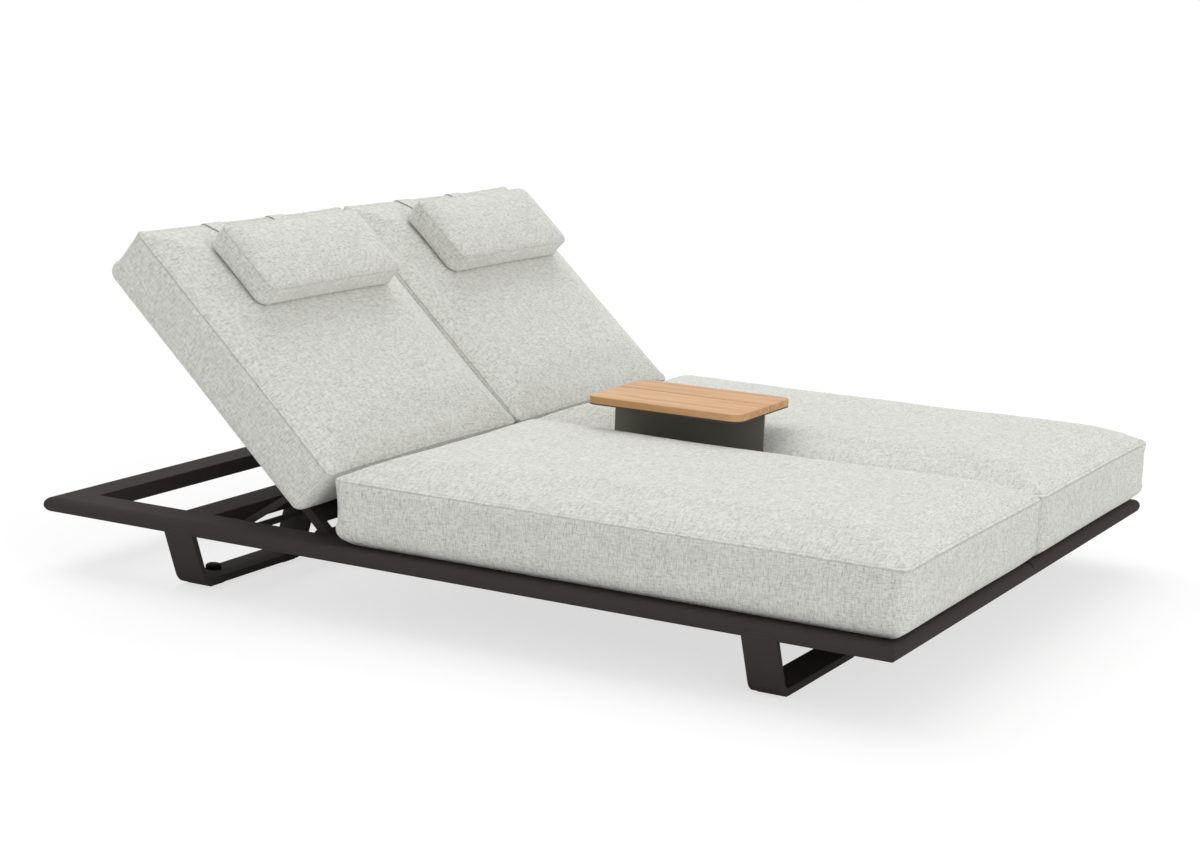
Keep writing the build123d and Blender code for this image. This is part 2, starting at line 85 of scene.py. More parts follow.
class Graph:
    """Adds and links the nodes of one tree."""

    def __init__(self, tree: bpy.types.NodeTree) -> None:
        """Keeps the tree that the nodes go into."""
        self.tree = tree

    def add(self, kind: str, **settings: object) -> bpy.types.Node:
        """Adds a node.

        Args:
            kind: The node's type name.
            settings: Properties of the node to set.

        Returns:
            The new node.
        """
        node = self.tree.nodes.new(kind)
        for key, value in settings.items():
            setattr(node, key, value)
        return node

    def put(self, target: bpy.types.NodeSocket, value: object) -> None:
        """Links a socket to an input, or sets a plain value on it.

        Args:
            target: The input.
            value: A socket, a number or a tuple.
        """
        if isinstance(value, bpy.types.NodeSocket):
            self.tree.links.new(value, target)
        else:
            target.default_value = value

    def fill(self, node: bpy.types.Node, **values: object) -> bpy.types.Node:
        """Links or sets several inputs of a node.

        Args:
            node: The node.
            values: Value or socket for each input, with spaces in its name as underscores.

        Returns:
            The node.
        """
        for name, value in values.items():
            self.put(node.inputs[name.replace("_", " ")], value)
        return node

    def math(self, operation: str, *values: object, clamp: bool = False) -> bpy.types.NodeSocket:
        """Adds a Math node.

        Args:
            operation: Its operation.
            values: Its values or sockets, in order.
            clamp: Whether the result is kept from 0 to 1.

        Returns:
            The result.
        """
        node = self.add("ShaderNodeMath", operation=operation, use_clamp=clamp)
        for target, value in zip(node.inputs, values):
            self.put(target, value)
        return node.outputs[0]

    def times(self, a: object, b: object) -> bpy.types.NodeSocket:
        """Product of two values or sockets."""
        return self.math("MULTIPLY", a, b)

    def plus(self, a: object, b: object) -> bpy.types.NodeSocket:
        """Sum of two values or sockets."""
        return self.math("ADD", a, b)

    def minus(self, a: object, b: object) -> bpy.types.NodeSocket:
        """First value or socket less the second."""
        return self.math("SUBTRACT", a, b)

    def vector_math(self, operation: str, a: object, b: object) -> bpy.types.NodeSocket:
        """Adds a Vector Math node.

        Args:
            operation: Its operation.
            a: First vector or socket.
            b: Second vector or socket.

        Returns:
            The resulting vector, or the value of a dot product.
        """
        node = self.add("ShaderNodeVectorMath", operation=operation)
        self.put(node.inputs[0], a)
        self.put(node.inputs[1], b)
        return node.outputs["Value"] if operation == "DOT_PRODUCT" else node.outputs["Vector"]

    def noise(self, vector: object, scale: float = 1.0, detail: float = 2.0,
              roughness: float = 0.5) -> bpy.types.NodeSocket:
        """Adds a Noise Texture.

        Args:
            vector: Where it is read.
            scale: Its scale.
            detail: Number of finer layers.
            roughness: Strength of the finer layers.

        Returns:
            The value from about 0.25 to 0.75.
        """
        node = self.add("ShaderNodeTexNoise", noise_dimensions="3D")
        self.fill(node, Vector=vector, Scale=scale, Detail=detail, Roughness=roughness)
        return node.outputs["Fac"]

    def spread(self, value: object, low: float, high: float) -> bpy.types.NodeSocket:
        """Maps a range to 0 to 1, with soft ends.

        Args:
            value: The value to map.
            low: What becomes 0.
            high: What becomes 1.

        Returns:
            The mapped value.
        """
        node = self.add("ShaderNodeMapRange", interpolation_type="SMOOTHSTEP")
        self.fill(node, Value=value, From_Min=low, From_Max=high)
        return node.outputs["Result"]

    def mix(self, share: object, a: object, b: object, colours: bool = True) -> bpy.types.NodeSocket:
        """Mixes two colours or two values.

        Args:
            share: How much of the second.
            a: First one.
            b: Second one.
            colours: Whether they are colours.

        Returns:
            The mixed one.
        """
        node = self.add("ShaderNodeMix", data_type="RGBA" if colours else "FLOAT")
        for number, value in zip((0, 6, 7) if colours else (0, 2, 3), (share, a, b)):
            self.put(node.inputs[number], value)
        return node.outputs[2 if colours else 0]

    def combine(self, x: object, y: object, z: object) -> bpy.types.NodeSocket:
        """Joins three values to a vector."""
        return self.fill(self.add("ShaderNodeCombineXYZ"), X=x, Y=y, Z=z).outputs[0]

    def split(self, vector: object) -> bpy.types.NodeOutputs:
        """Parts a vector into its three values."""
        return self.fill(self.add("ShaderNodeSeparateXYZ"), Vector=vector).outputs

    def own_place(self) -> bpy.types.NodeSocket:
        """Place on the piece itself."""
        return self.add("ShaderNodeTexCoord").outputs["Object"]

    def group(self, tree: bpy.types.NodeTree, **values: object) -> bpy.types.NodeOutputs:
        """Places a node group with its inputs set, and gives its outputs."""
        return self.fill(self.add("ShaderNodeGroup", node_tree=tree), **values).outputs


def linear(red: float, green: float, blue: float) -> tuple[float, float, float, float]:
    """Turns a screen colour from 0 to 255 into the value that a shader takes.

    Args:
        red: Red part.
        green: Green part.
        blue: Blue part.

    Returns:
        The colour with an alpha of 1.
    """
    def one(part: float) -> float:
        """One part of the colour by the sRGB curve."""
        share = part / 255
        return share / 12.92 if share <= 0.04045 else ((share + 0.055) / 1.055) ** 2.4
    return one(red), one(green), one(blue), 1.0


def grey(value: float) -> tuple[float, float, float, float]:
    """Neutral shader colour with an alpha of 1."""
    return value, value, value, 1.0


def new_group(name: str, inputs: dict[str, object],
              outputs: dict[str, str]) -> tuple[Graph, bpy.types.NodeOutputs, bpy.types.Node]:
    """Starts a shader node group.

    Args:
        name: Its name.
        inputs: Default of each input: none for a vector, a tuple for a colour, or a number.
        outputs: Type of each output.

    Returns:
        The graph, the sockets that give the inputs, and the node that takes the outputs.
    """
    tree = bpy.data.node_groups.new(name, "ShaderNodeTree")
    for label, default in inputs.items():
        kind = VECTOR if default is None else COLOUR if isinstance(default, tuple) else NUMBER
        socket = tree.interface.new_socket(name=label, in_out="INPUT", socket_type=kind)
        if default is not None:
            socket.default_value = default
    for label, kind in outputs.items():
        tree.interface.new_socket(name=label, in_out="OUTPUT", socket_type=kind)
    graph = Graph(tree)
    return graph, graph.add("NodeGroupInput").outputs, graph.add("NodeGroupOutput")


class Effects:
    """The surface effects that several finishes share, each a node group built once."""

    surface = {"Color": COLOUR, "Height": NUMBER, "Roughness": NUMBER}

    def __init__(self) -> None:
        """Builds every group."""
        self.weave = self._weave()
        self.grain = self._grain()
        self.specks = self._specks()
        self.edge_wear = self._edge_wear()
        self.dust = self._dust()

    def _weave(self) -> bpy.types.NodeTree:
        """Plain weave of flecked yarns.

        Returns:
            Group with a colour, a height and a roughness.
        """
        wobble_size = 0.004
        tone_run = 0.11
        warp_layer, weft_layer = 3.37, 8.71
        fleck_share, patch_share = 0.42, 0.05
        lean_swing, lean_base = 0.3, 0.35
        yarn_round, fuzz_height = 0.7, 0.5
        rough_swing, rough_base = -0.12, 0.98
        graph, given, wanted = new_group(
            "flecked_weave",
            {"Vector": None, "Yarn": 0.0022, "Fleck": 1.0, "Light": grey(0.8), "Middle": grey(0.6),
             "Dark": grey(0.3)}, self.surface)
        place, dark = given["Vector"], given["Dark"]
        wobble = graph.times(graph.noise(place, scale=35.0, detail=1.0), wobble_size)
        x, y, _ = graph.split(place)
        u, v = (graph.math("DIVIDE", graph.plus(way, wobble), given["Yarn"]) for way in (x, y))
        wave_u, wave_v = (graph.math("SINE", graph.times(way, math.pi)) for way in (u, v))
        over = graph.math("MULTIPLY_ADD", graph.times(wave_u, wave_v), 0.5, 0.5)
        warp_place = graph.combine(graph.math("FLOOR", u), graph.times(v, tone_run), warp_layer)
        weft_place = graph.combine(graph.times(u, tone_run), graph.math("FLOOR", v), weft_layer)
        warp, weft = (graph.noise(yarn, detail=0.6) for yarn in (warp_place, weft_place))
        lean = graph.math("MULTIPLY_ADD", over, lean_swing, lean_base)
        yarn_tone = graph.mix(lean, warp, weft, colours=False)
        tone = graph.plus(graph.times(graph.minus(yarn_tone, 0.5), given["Fleck"]), 0.5)
        pale = graph.mix(graph.spread(tone, low=0.28, high=0.70), given["Middle"], given["Light"])
        darkest = graph.spread(graph.math("MINIMUM", warp, weft), low=0.34, high=0.20)
        flecked = graph.mix(graph.times(darkest, fleck_share), pale, dark)
        patch = graph.spread(graph.noise(place, scale=14.0, detail=3.0), low=0.3, high=0.75)
        round_u, round_v = (
            graph.math("POWER", graph.math("ABSOLUTE", wave), yarn_round) for wave in (wave_u, wave_v))
        yarns = graph.math("MAXIMUM", graph.times(round_u, over),
                           graph.times(round_v, graph.minus(1.0, over)))
        fuzz = graph.times(graph.noise(place, scale=900.0, detail=2.0), fuzz_height)
        graph.fill(wanted, Color=graph.mix(graph.times(patch, patch_share), flecked, dark),
                   Height=graph.plus(yarns, fuzz),
                   Roughness=graph.math("MULTIPLY_ADD", yarn_tone, rough_swing, rough_base))
        return graph.tree

    def _grain(self) -> bpy.types.NodeTree:
        """Straight wood grain along X.

        Returns:
            Group with a colour, a height and a roughness.
        """
        band_scale, fibre_scale, pore_scale = (1.6, 26.0, 26.0), (9.0, 900.0, 900.0), (45.0, 1500.0, 1500.0)
        fibre_share, pore_share = 0.55, 0.55
        pore_depth = 0.6
        rough_swing, rough_base = 0.22, 0.42
        graph, given, wanted = new_group(
            "straight_grain",
            {"Vector": None, "Light": (0.7, 0.5, 0.3, 1.0), "Middle": (0.6, 0.4, 0.2, 1.0),
             "Dark": (0.3, 0.2, 0.1, 1.0)}, self.surface)
        stretched, fibre_place, pore_place = (
            graph.vector_math("MULTIPLY", given["Vector"], scale)
            for scale in (band_scale, fibre_scale, pore_scale))
        bend = graph.noise(stretched, scale=0.8)
        bent = graph.vector_math("ADD", stretched, graph.combine(0.0, bend, bend))
        bands = graph.noise(bent, scale=2.3, detail=3.0, roughness=0.55)
        fibres = graph.noise(fibre_place, detail=3.0, roughness=0.65)
        pores = graph.spread(graph.noise(pore_place, detail=1.0), low=0.60, high=0.78)
        pale = graph.mix(graph.spread(bands, low=0.35, high=0.65), given["Middle"], given["Light"])
        lines = graph.times(graph.spread(fibres, low=0.52, high=0.74), fibre_share)
        lined = graph.mix(lines, pale, given["Middle"])
        graph.fill(wanted, Color=graph.mix(graph.times(pores, pore_share), lined, given["Dark"]),
                   Height=graph.minus(fibres, graph.times(pores, pore_depth)),
                   Roughness=graph.math("MULTIPLY_ADD", fibres, rough_swing, rough_base))
        return graph.tree

    def _specks(self) -> bpy.types.NodeTree:
        """Fine grain of a powder coat, a moulding or a cast surface.

        Returns:
            Group with a height, a roughness and a tone.
        """
        roughness_swing = 0.22
        fine_share, wide_share = 0.3, 0.7
        graph, given, wanted = new_group(
            "fine_specks", {"Vector": None, "Size": 0.0006, "Roughness": 0.5},
            {"Height": NUMBER, "Roughness": NUMBER, "Tone": NUMBER})
        scaled = graph.fill(graph.add("ShaderNodeVectorMath", operation="SCALE"), Vector=given["Vector"],
                            Scale=graph.math("DIVIDE", 1.0, given["Size"]))
        fine = graph.noise(scaled.outputs[0], roughness=0.6)
        wide = graph.noise(given["Vector"], scale=9.0, detail=4.0, roughness=0.6)
        shift = graph.times(graph.minus(wide, 0.5), roughness_swing)
        graph.fill(wanted, Height=fine, Roughness=graph.math("ADD", given["Roughness"], shift, clamp=True),
                   Tone=graph.plus(graph.times(fine, fine_share), graph.times(wide, wide_share)))
        return graph.tree

    def _edge_wear(self) -> bpy.types.NodeTree:
        """Lighter edges and corners, partly wear and partly a painted highlight on the rounded edge.

        Returns:
            Group with a mask.
        """
        edge_lighten_radius = 0.0018
        graph, given, wanted = new_group("edge_wear", {"Vector": None, "Amount": 0.5}, {"Mask": NUMBER})
        soft = graph.fill(graph.add("ShaderNodeBevel", samples=4), Radius=edge_lighten_radius).outputs[0]
        plain = graph.add("ShaderNodeNewGeometry").outputs["Normal"]
        edge = graph.spread(graph.vector_math("DOT_PRODUCT", soft, plain), low=0.985, high=0.86)
        breaks = graph.noise(given["Vector"], scale=60.0, detail=4.0, roughness=0.65)
        rubbed_and_lit = graph.times(edge, graph.spread(breaks, low=0.42, high=0.62))
        graph.fill(wanted, Mask=graph.math("MULTIPLY", rubbed_and_lit, given["Amount"], clamp=True))
        return graph.tree

    def _dust(self) -> bpy.types.NodeTree:
        """Thin dust on faces that look up.

        Returns:
            Group with a mask.
        """
        graph, given, wanted = new_group("settled_dust", {"Vector": None, "Amount": 0.1}, {"Mask": NUMBER})
        normal = graph.add("ShaderNodeNewGeometry").outputs["Normal"]
        upward = graph.spread(graph.split(normal)[2], low=0.35, high=1.0)
        patches = graph.noise(given["Vector"], scale=22.0, detail=5.0, roughness=0.7)
        settled = graph.times(upward, graph.spread(patches, low=0.30, high=0.72))
        graph.fill(wanted, Mask=graph.math("MULTIPLY", settled, given["Amount"], clamp=True))
        return graph.tree


def new_material(name: str) -> tuple[bpy.types.Material, Graph, bpy.types.Node]:
    """Starts a material with its main shader.

    Args:
        name: The material's name.

    Returns:
        The material, its graph and its shader.
    """
    material = bpy.data.materials.new(name)
    material.use_nodes = True
    graph = Graph(material.node_tree)
    shader = next(node for node in graph.tree.nodes if node.type == "BSDF_PRINCIPLED")
    return material, graph, shader


def bump(graph: Graph, shader: bpy.types.Node, height: object, distance: float, strength: float) -> None:
    """Feeds a relief of a depth in metres to the shader's normal, by a strength from 0 to 1."""
    node = graph.fill(graph.add("ShaderNodeBump"), Distance=distance, Strength=strength, Height=height)
    graph.fill(shader, Normal=node.outputs["Normal"])


@dataclass(frozen=True)
class ClothFinish:
    """Woven outdoor cloth in pale grey yarns with darker flecks, and painted shade in the seam's valley."""

    name: str
    light: tuple = linear(238, 239, 233)
    middle: tuple = linear(203, 203, 196)
    dark: tuple = linear(140, 139, 132)
    yarn: float = 0.0014
    fleck: float = 1.2
    seam_shade: float = 0.80
    seam_reach: float = 0.0026
    seam_bottom: float = 0.0004
    seam_depth: float = 1.2
    sheen: float = 0.18
    sheen_roughness: float = 0.5
    gloss: float = 0.2
    relief: float = 0.0007
    relief_share: float = 0.55

    def build(self, effects: Effects) -> bpy.types.Material:
        """Makes the material.

        Args:
            effects: The shared node groups.

        Returns:
            The cloth.
        """
        material, graph, shader = new_material(self.name)
        chart = graph.add("ShaderNodeUVMap", uv_map="cloth").outputs[0]
        weave = graph.group(effects.weave, Vector=chart, Yarn=self.yarn, Fleck=self.fleck,
                            Light=self.light, Middle=self.middle, Dark=self.dark)
        gap = graph.add("ShaderNodeAttribute", attribute_name="seam_gap", attribute_type="GEOMETRY")
        # Painted shade: the cloth is darkened towards its dark yarn colour in the seam's valley, where shade
        # falls; the same mask also sinks the relief.
        valley = graph.spread(gap.outputs["Fac"], low=self.seam_reach, high=self.seam_bottom)
        shaded = graph.mix(graph.times(valley, self.seam_shade), weave["Color"], self.dark)
        graph.fill(shader, Base_Color=shaded, Roughness=weave["Roughness"], Sheen_Weight=self.sheen,
                   Sheen_Roughness=self.sheen_roughness, Specular_IOR_Level=self.gloss)
        height = graph.minus(weave["Height"], graph.times(valley, self.seam_depth))
        bump(graph, shader, height, self.relief, self.relief_share)
        return material


@dataclass(frozen=True)
class CoatFinish:
    """Matt powder coat, moulding or thread, with edges lightened by wear and by a painted highlight, and a
    little dust.
    """

    name: str
    colour: tuple = linear(65, 61, 60)
    worn: tuple = linear(98, 94, 91)
    dusty: tuple = linear(130, 126, 120)
    roughness: float = 0.78
    speck: float = 0.0007
    tone_share: float = 0.06
    depth: float = 0.00012
    depth_share: float = 0.6
    # Strength of the lightened edges, part wear and part painted highlight.
    wear: float = 0.20
    dust: float = 0.02
    ior: float = 1.10

    def build(self, effects: Effects) -> bpy.types.Material:
        """Makes the material.

        Args:
            effects: The shared node groups.

        Returns:
            The coat.
        """
        material, graph, shader = new_material(self.name)
        place = graph.own_place()
        specks = graph.group(effects.specks, Vector=place, Size=self.speck, Roughness=self.roughness)
        wear = graph.group(effects.edge_wear, Vector=place, Amount=self.wear)
        dust = graph.group(effects.dust, Vector=place, Amount=self.dust)
        toned = graph.mix(graph.times(specks["Tone"], self.tone_share), self.colour, self.worn)
        # Lightened edges: partly wear, partly a painted highlight where the rounded edges would catch the
        # light.
        rubbed_and_lit = graph.mix(wear["Mask"], toned, self.worn)
        graph.fill(shader, Base_Color=graph.mix(dust["Mask"], rubbed_and_lit, self.dusty),
                   Roughness=specks["Roughness"], IOR=self.ior)
        bump(graph, shader, specks["Height"], self.depth, self.depth_share)
        return material


@dataclass(frozen=True)
class SteelFinish:
    """Brushed stainless steel for pins and screws."""

    name: str
    colour: tuple = (0.60, 0.59, 0.57, 1.0)
    streak: tuple = (0.35, 0.34, 0.33, 1.0)
    dusty: tuple = (0.40, 0.38, 0.35, 1.0)
    roughness: float = 0.34
    speck: float = 0.0004
    tone_share: float = 0.4
    depth: float = 0.00005
    depth_share: float = 0.4
    dust: float = 0.15

    def build(self, effects: Effects) -> bpy.types.Material:
        """Makes the material.

        Args:
            effects: The shared node groups.

        Returns:
            The steel.
        """
        material, graph, shader = new_material(self.name)
        place = graph.own_place()
        specks = graph.group(effects.specks, Vector=place, Size=self.speck, Roughness=self.roughness)
        dust = graph.group(effects.dust, Vector=place, Amount=self.dust)
        toned = graph.mix(graph.times(specks["Tone"], self.tone_share), self.colour, self.streak)
        graph.fill(shader, Base_Color=graph.mix(dust["Mask"], toned, self.dusty),
                   Roughness=specks["Roughness"], Metallic=1.0)
        bump(graph, shader, specks["Height"], self.depth, self.depth_share)
        return material


@dataclass(frozen=True)
class TeakFinish:
    """Sanded teak with straight grain."""

    name: str
    light: tuple = linear(212, 168, 120)
    middle: tuple = linear(194, 147, 98)
    dark: tuple = linear(138, 92, 50)
    shift: tuple = (0.0, 0.0, 0.0)
    # Strength of the lightened edges, part wear and part painted highlight.
    wear: float = 0.25
    gloss: float = 0.35
    depth: float = 0.0002
    depth_share: float = 0.5

    def build(self, effects: Effects) -> bpy.types.Material:
        """Makes the material.

        Args:
            effects: The shared node groups.

        Returns:
            The teak.
        """
        material, graph, shader = new_material(self.name)
        place = graph.own_place()
        grain = graph.group(effects.grain, Vector=graph.vector_math("ADD", place, self.shift),
                            Light=self.light, Middle=self.middle, Dark=self.dark)
        wear = graph.group(effects.edge_wear, Vector=place, Amount=self.wear)
        # Edges lightened towards the light grain colour: partly wear, partly a painted highlight.
        graph.fill(shader, Base_Color=graph.mix(wear["Mask"], grain["Color"], self.light),
                   Roughness=grain["Roughness"], Specular_IOR_Level=self.gloss)
        bump(graph, shader, grain["Height"], self.depth, self.depth_share)
        return material


class Palette:
    """Every finish of the lounger, made once."""

    def __init__(self) -> None:
        """Builds the node groups and the materials."""
        effects = Effects()
        self.cloth = ClothFinish("cushion_cloth").build(effects)
        self.pillow_cloth = ClothFinish("pillow_cloth", yarn=0.0013, seam_shade=0.60).build(effects)
        self.webbing = ClothFinish("strap_cloth", yarn=0.0015, seam_shade=0.6).build(effects)
        self.thread = CoatFinish(
            "sewing_thread", colour=linear(205, 206, 198), worn=linear(222, 223, 216), roughness=0.85,
            speck=0.0004, wear=0.0, dust=0.0).build(effects)
        self.coat = CoatFinish("charcoal_coat").build(effects)
        self.tray_coat = CoatFinish(
            "tray_coat", colour=linear(78, 77, 73), worn=linear(128, 126, 121), roughness=0.42).build(effects)
        self.panel_coat = CoatFinish(
            "panel_coat", colour=linear(116, 114, 105), worn=linear(140, 138, 128),
            roughness=0.50).build(effects)
        self.plastic = CoatFinish(
            "black_plastic", colour=linear(34, 34, 34), worn=linear(70, 70, 70), roughness=0.55,
            speck=0.0005, depth=0.0001, wear=0.2).build(effects)
        self.rubber = CoatFinish(
            "black_rubber", colour=linear(26, 26, 26), worn=linear(60, 60, 60), roughness=0.8,
            speck=0.0009, depth=0.0002, wear=0.15, dust=0.12).build(effects)
        self.steel = SteelFinish("plain_steel").build(effects)
        self.wide_teak = TeakFinish("wide_plank_teak").build(effects)
        self.narrow_teak = TeakFinish(
            "narrow_plank_teak", light=linear(208, 163, 114), middle=linear(190, 142, 93),
            shift=(0.37, 0.21, 0.13)).build(effects)


# Mesh tools


def mesh_object(name: str, mesh: bpy.types.Mesh) -> bpy.types.Object:
    """Puts a mesh into the scene.

    Args:
        name: The object's name.
        mesh: Its mesh.

    Returns:
        The object, at the origin.
    """
    piece = bpy.data.objects.new(name, mesh)
    bpy.context.scene.collection.objects.link(piece)
    return piece


def cloth_mesh(name: str, points: Sequence, faces: Sequence, chart: Sequence) -> bpy.types.Mesh:
    """Makes a mesh with a chart for its cloth.

    Args:
        name: The mesh's name.
        points: Places of its points.
        faces: Point indices of its faces.
        chart: Place on the cloth of each face's corners.

    Returns:
        The mesh.
    """
    mesh = bpy.data.meshes.new(name)
    mesh.from_pydata([tuple(point) for point in points], [], faces)
    layer = mesh.uv_layers.new(name="cloth")
    layer.data.foreach_set("uv", np.array(chart, np.float32).ravel())
    return mesh


def store(mesh: bpy.types.Mesh, name: str, domain: str, values: Sequence[float]) -> None:
    """Stores a value for each point or edge of a mesh."""
    layer = mesh.attributes.new(name, "FLOAT", domain)
    layer.data.foreach_set("value", values)


def settle_mesh(piece: bpy.types.Object) -> None:
    """Bakes a piece's modifiers into a plain mesh and removes them.

    Args:
        piece: The piece.
    """
    bpy.context.view_layer.update()
    graph = bpy.context.evaluated_depsgraph_get()
    mesh = bpy.data.meshes.new_from_object(
        piece.evaluated_get(graph), preserve_all_data_layers=True, depsgraph=graph)
    old = piece.data
    piece.modifiers.clear()
    piece.data = mesh
    bpy.data.meshes.remove(old)


def read_points(mesh: bpy.types.Mesh) -> np.ndarray:
    """Vertex places of a mesh.

    Args:
        mesh: The mesh.

    Returns:
        One row for each vertex.
    """
    flat = np.zeros(len(mesh.vertices) * 3)
    mesh.vertices.foreach_get("co", flat)
    return flat.reshape(-1, 3)


def write_points(mesh: bpy.types.Mesh, points: np.ndarray) -> None:
    """Moves the vertices of a mesh to rows of places."""
    mesh.vertices.foreach_set("co", points.astype(np.float32).ravel())
    mesh.update()


def smooth_shading(piece: bpy.types.Object) -> None:
    """Shades every face of a piece smoothly."""
    piece.data.polygons.foreach_set("use_smooth", [True] * len(piece.data.polygons))


def clothe(piece: bpy.types.Object, material: bpy.types.Material) -> None:
    """Makes a material the only one of a piece."""
    piece.data.materials.clear()
    piece.data.materials.append(material)


@dataclass(frozen=True)
class Placement:
    """Where a piece that is drawn flat goes: shifted, raised about a hinge line along Y, and moved."""

    origin: tuple = (0.0, 0.0, 0.0)
    shift: tuple = (0.0, 0.0, 0.0)
    raised_deg: float = 0.0

    def world(self, points: np.ndarray) -> np.ndarray:
        """Takes flat points to their place.

        Args:
            points: Rows of flat places.

        Returns:
            Rows of places in the lounger's frame.
        """
        angle = math.radians(self.raised_deg)
        moved = points + np.array(self.shift)
        out = moved.copy()
        out[:, 0] = moved[:, 0] * math.cos(angle) + moved[:, 2] * math.sin(angle)
        out[:, 2] = -moved[:, 0] * math.sin(angle) + moved[:, 2] * math.cos(angle)
        return out + np.array(self.origin)


@dataclass
class CushionForm:
    """Start shape of a boxed cushion: a grid for each large panel and rings for the boxing."""

    length: float
    width: float
    boxing: float
    crown: float
    corner_radius: float = 0.020
    least_radius: float = 0.010
    edge_radius: float = 0.034
    seam_draw: float = 0.003
    side_draw: float = 0.0025
    crown_reach: float = 0.042
    crown_power: float = 2.5
    cell: float = 0.012
    least_cells: int = 4
    corner_cells: int = 3
    edge_rings: int = 4
    side_rings: int = 9
    seam_crease: float = 0.85
    under_on_cloth: float = 1.7
    boxing_on_cloth: float = 3.1

    def _axis(self, half: float) -> tuple[np.ndarray, np.ndarray, np.ndarray]:
        """Divides one direction of the grid.

        Args:
            half: Half of the cushion's size in it.

        Returns:
            Place along the straight part from -1 to 1, share of the corner, and side of each line.
        """
        count = max(self.least_cells, int(round(2 * (half - self.corner_radius) / self.cell)))
        middle = np.linspace(-1, 1, count + 1)
        corner = np.linspace(0, 1, self.corner_cells + 1)[1:]
        straight = np.concatenate([-np.ones(self.corner_cells), middle, np.ones(self.corner_cells)])
        share = np.concatenate([corner[::-1], np.zeros(count + 1), corner])
        side = np.where(straight < 0, -1.0, 1.0)
        return straight, share, side

    def _plan(self, rows: np.ndarray, columns: np.ndarray, inset: float) -> np.ndarray:
        """Plan places of grid points on the outline drawn in by an inset.

        Args:
            rows: Index along the length.
            columns: Index along the width.
            inset: How far the outline is drawn in.

        Returns:
            X and Y of each point.
        """
        radius = max(self.corner_radius - inset, self.least_radius)
        places = []
        for size, axis, index, cross_axis, cross_index in (
                (self.length, self.along, rows, self.across, columns),
                (self.width, self.across, columns, self.along, rows)):
            half = size / 2 - inset - radius
            straight, share, side = axis
            swing = share[index] * np.sqrt(1 - cross_axis[1][cross_index] ** 2 / 2)
            places.append(straight[index] * half + side[index] * radius * swing)
        return np.stack(places, axis=-1)

    def crown_at(self, plan: np.ndarray) -> np.ndarray:
        """Rise of the top panel over its seam.

        Args:
            plan: X and Y of the points.

        Returns:
            Height over the seam.
        """
        least_gap, power = 1e-5, self.crown_power
        gap_x = np.maximum(self.length / 2 - self.seam_draw - np.abs(plan[..., 0]), least_gap)
        gap_y = np.maximum(self.width / 2 - self.seam_draw - np.abs(plan[..., 1]), least_gap)
        reach = (gap_x ** -power + gap_y ** -power) ** (-1 / power)
        return self.crown * (1 - np.exp(-reach / self.crown_reach))

    def side_levels(self) -> list[tuple[float, float]]:
        """Height and inset of each ring, from the underside to the seam.

        Returns:
            The rings.
        """
        levels = []
        for step in range(self.edge_rings + 1):
            angle = math.radians(90 * step / self.edge_rings)
            levels.append(tuple(self.edge_radius * (1 - turn) for turn in (math.cos(angle), math.sin(angle))))
        for step in range(1, self.side_rings + 1):
            share = step / self.side_rings
            height = self.edge_radius + (self.boxing - self.edge_radius) * share
            drawn = self.side_draw + (self.seam_draw - self.side_draw) * share ** 2
            levels.append((height, drawn))
        return levels

    def build(self) -> None:
        """Makes points, faces, chart and the seam's indices."""
        self.along = self._axis(self.length / 2)
        self.across = self._axis(self.width / 2)
        nx, ny = len(self.along[0]) - 1, len(self.across[0]) - 1
        grid_i, grid_j = np.meshgrid(np.arange(nx + 1), np.arange(ny + 1), indexing="ij")
        border = ([(i, 0) for i in range(nx)] + [(nx, j) for j in range(ny)]
                  + [(i, ny) for i in range(nx, 0, -1)] + [(0, j) for j in range(ny, 0, -1)])
        edge_i, edge_j = np.array(border).T
        levels = self.side_levels()
        under_plan = self._plan(grid_i, grid_j, levels[0][1])
        top_plan = self._plan(grid_i, grid_j, levels[-1][1])
        under = np.dstack([under_plan, np.zeros(under_plan.shape[:2])])
        top = np.dstack([top_plan, self.boxing + self.crown_at(top_plan)])
        top[edge_i, edge_j, 2] = self.boxing
        points = [under.reshape(-1, 3), top.reshape(-1, 3)]
        count = under.shape[0] * under.shape[1]
        rings = [[int(i * (ny + 1) + j) for i, j in border]]
        start = 2 * count
        for height, inset in levels[1:-1]:
            plan = self._plan(edge_i, edge_j, inset)
            points.append(np.column_stack([plan, np.full(len(plan), height)]))
            rings.append(list(range(start, start + len(plan))))
            start += len(plan)
        rings.append([index + count for index in rings[0]])
        self.points = np.vstack(points)
        self.seam = np.array(rings[-1])
        self.under_count = count
        self._connect(nx, ny, count, rings, levels)

    def _connect(self, nx: int, ny: int, count: int, rings: list, levels: list) -> None:
        """Makes the faces and their chart on the cloth.

        Args:
            nx: Cells along the length.
            ny: Cells along the width.
            count: Points in one panel.
            rings: Point indices of each ring.
            levels: Height and inset of each ring.
        """
        self.faces = []
        self.chart = []
        flat = self.points[:, :2]
        for i in range(nx):
            for j in range(ny):
                a, b = i * (ny + 1) + j, (i + 1) * (ny + 1) + j
                under = [a + 1, b + 1, b, a]
                top = [index + count for index in under[::-1]]
                self.faces += [top, under]
                self.chart += [tuple(flat[index]) for index in top]
                self.chart += [tuple(flat[index] + self.under_on_cloth) for index in under]
        outline = self.points[rings[len(rings) // 2]][:, :2]
        steps = np.linalg.norm(np.roll(outline, -1, axis=0) - outline, axis=1)
        run = np.concatenate([[0.0], np.cumsum(steps)]) + self.boxing_on_cloth
        for low, high, (low_z, _), (high_z, _) in zip(rings, rings[1:], levels, levels[1:]):
            for k in range(len(low)):
                m = (k + 1) % len(low)
                self.faces.append([low[k], low[m], high[m], high[k]])
                self.chart += [(run[k], low_z), (run[k + 1], low_z), (run[k + 1], high_z), (run[k], high_z)]

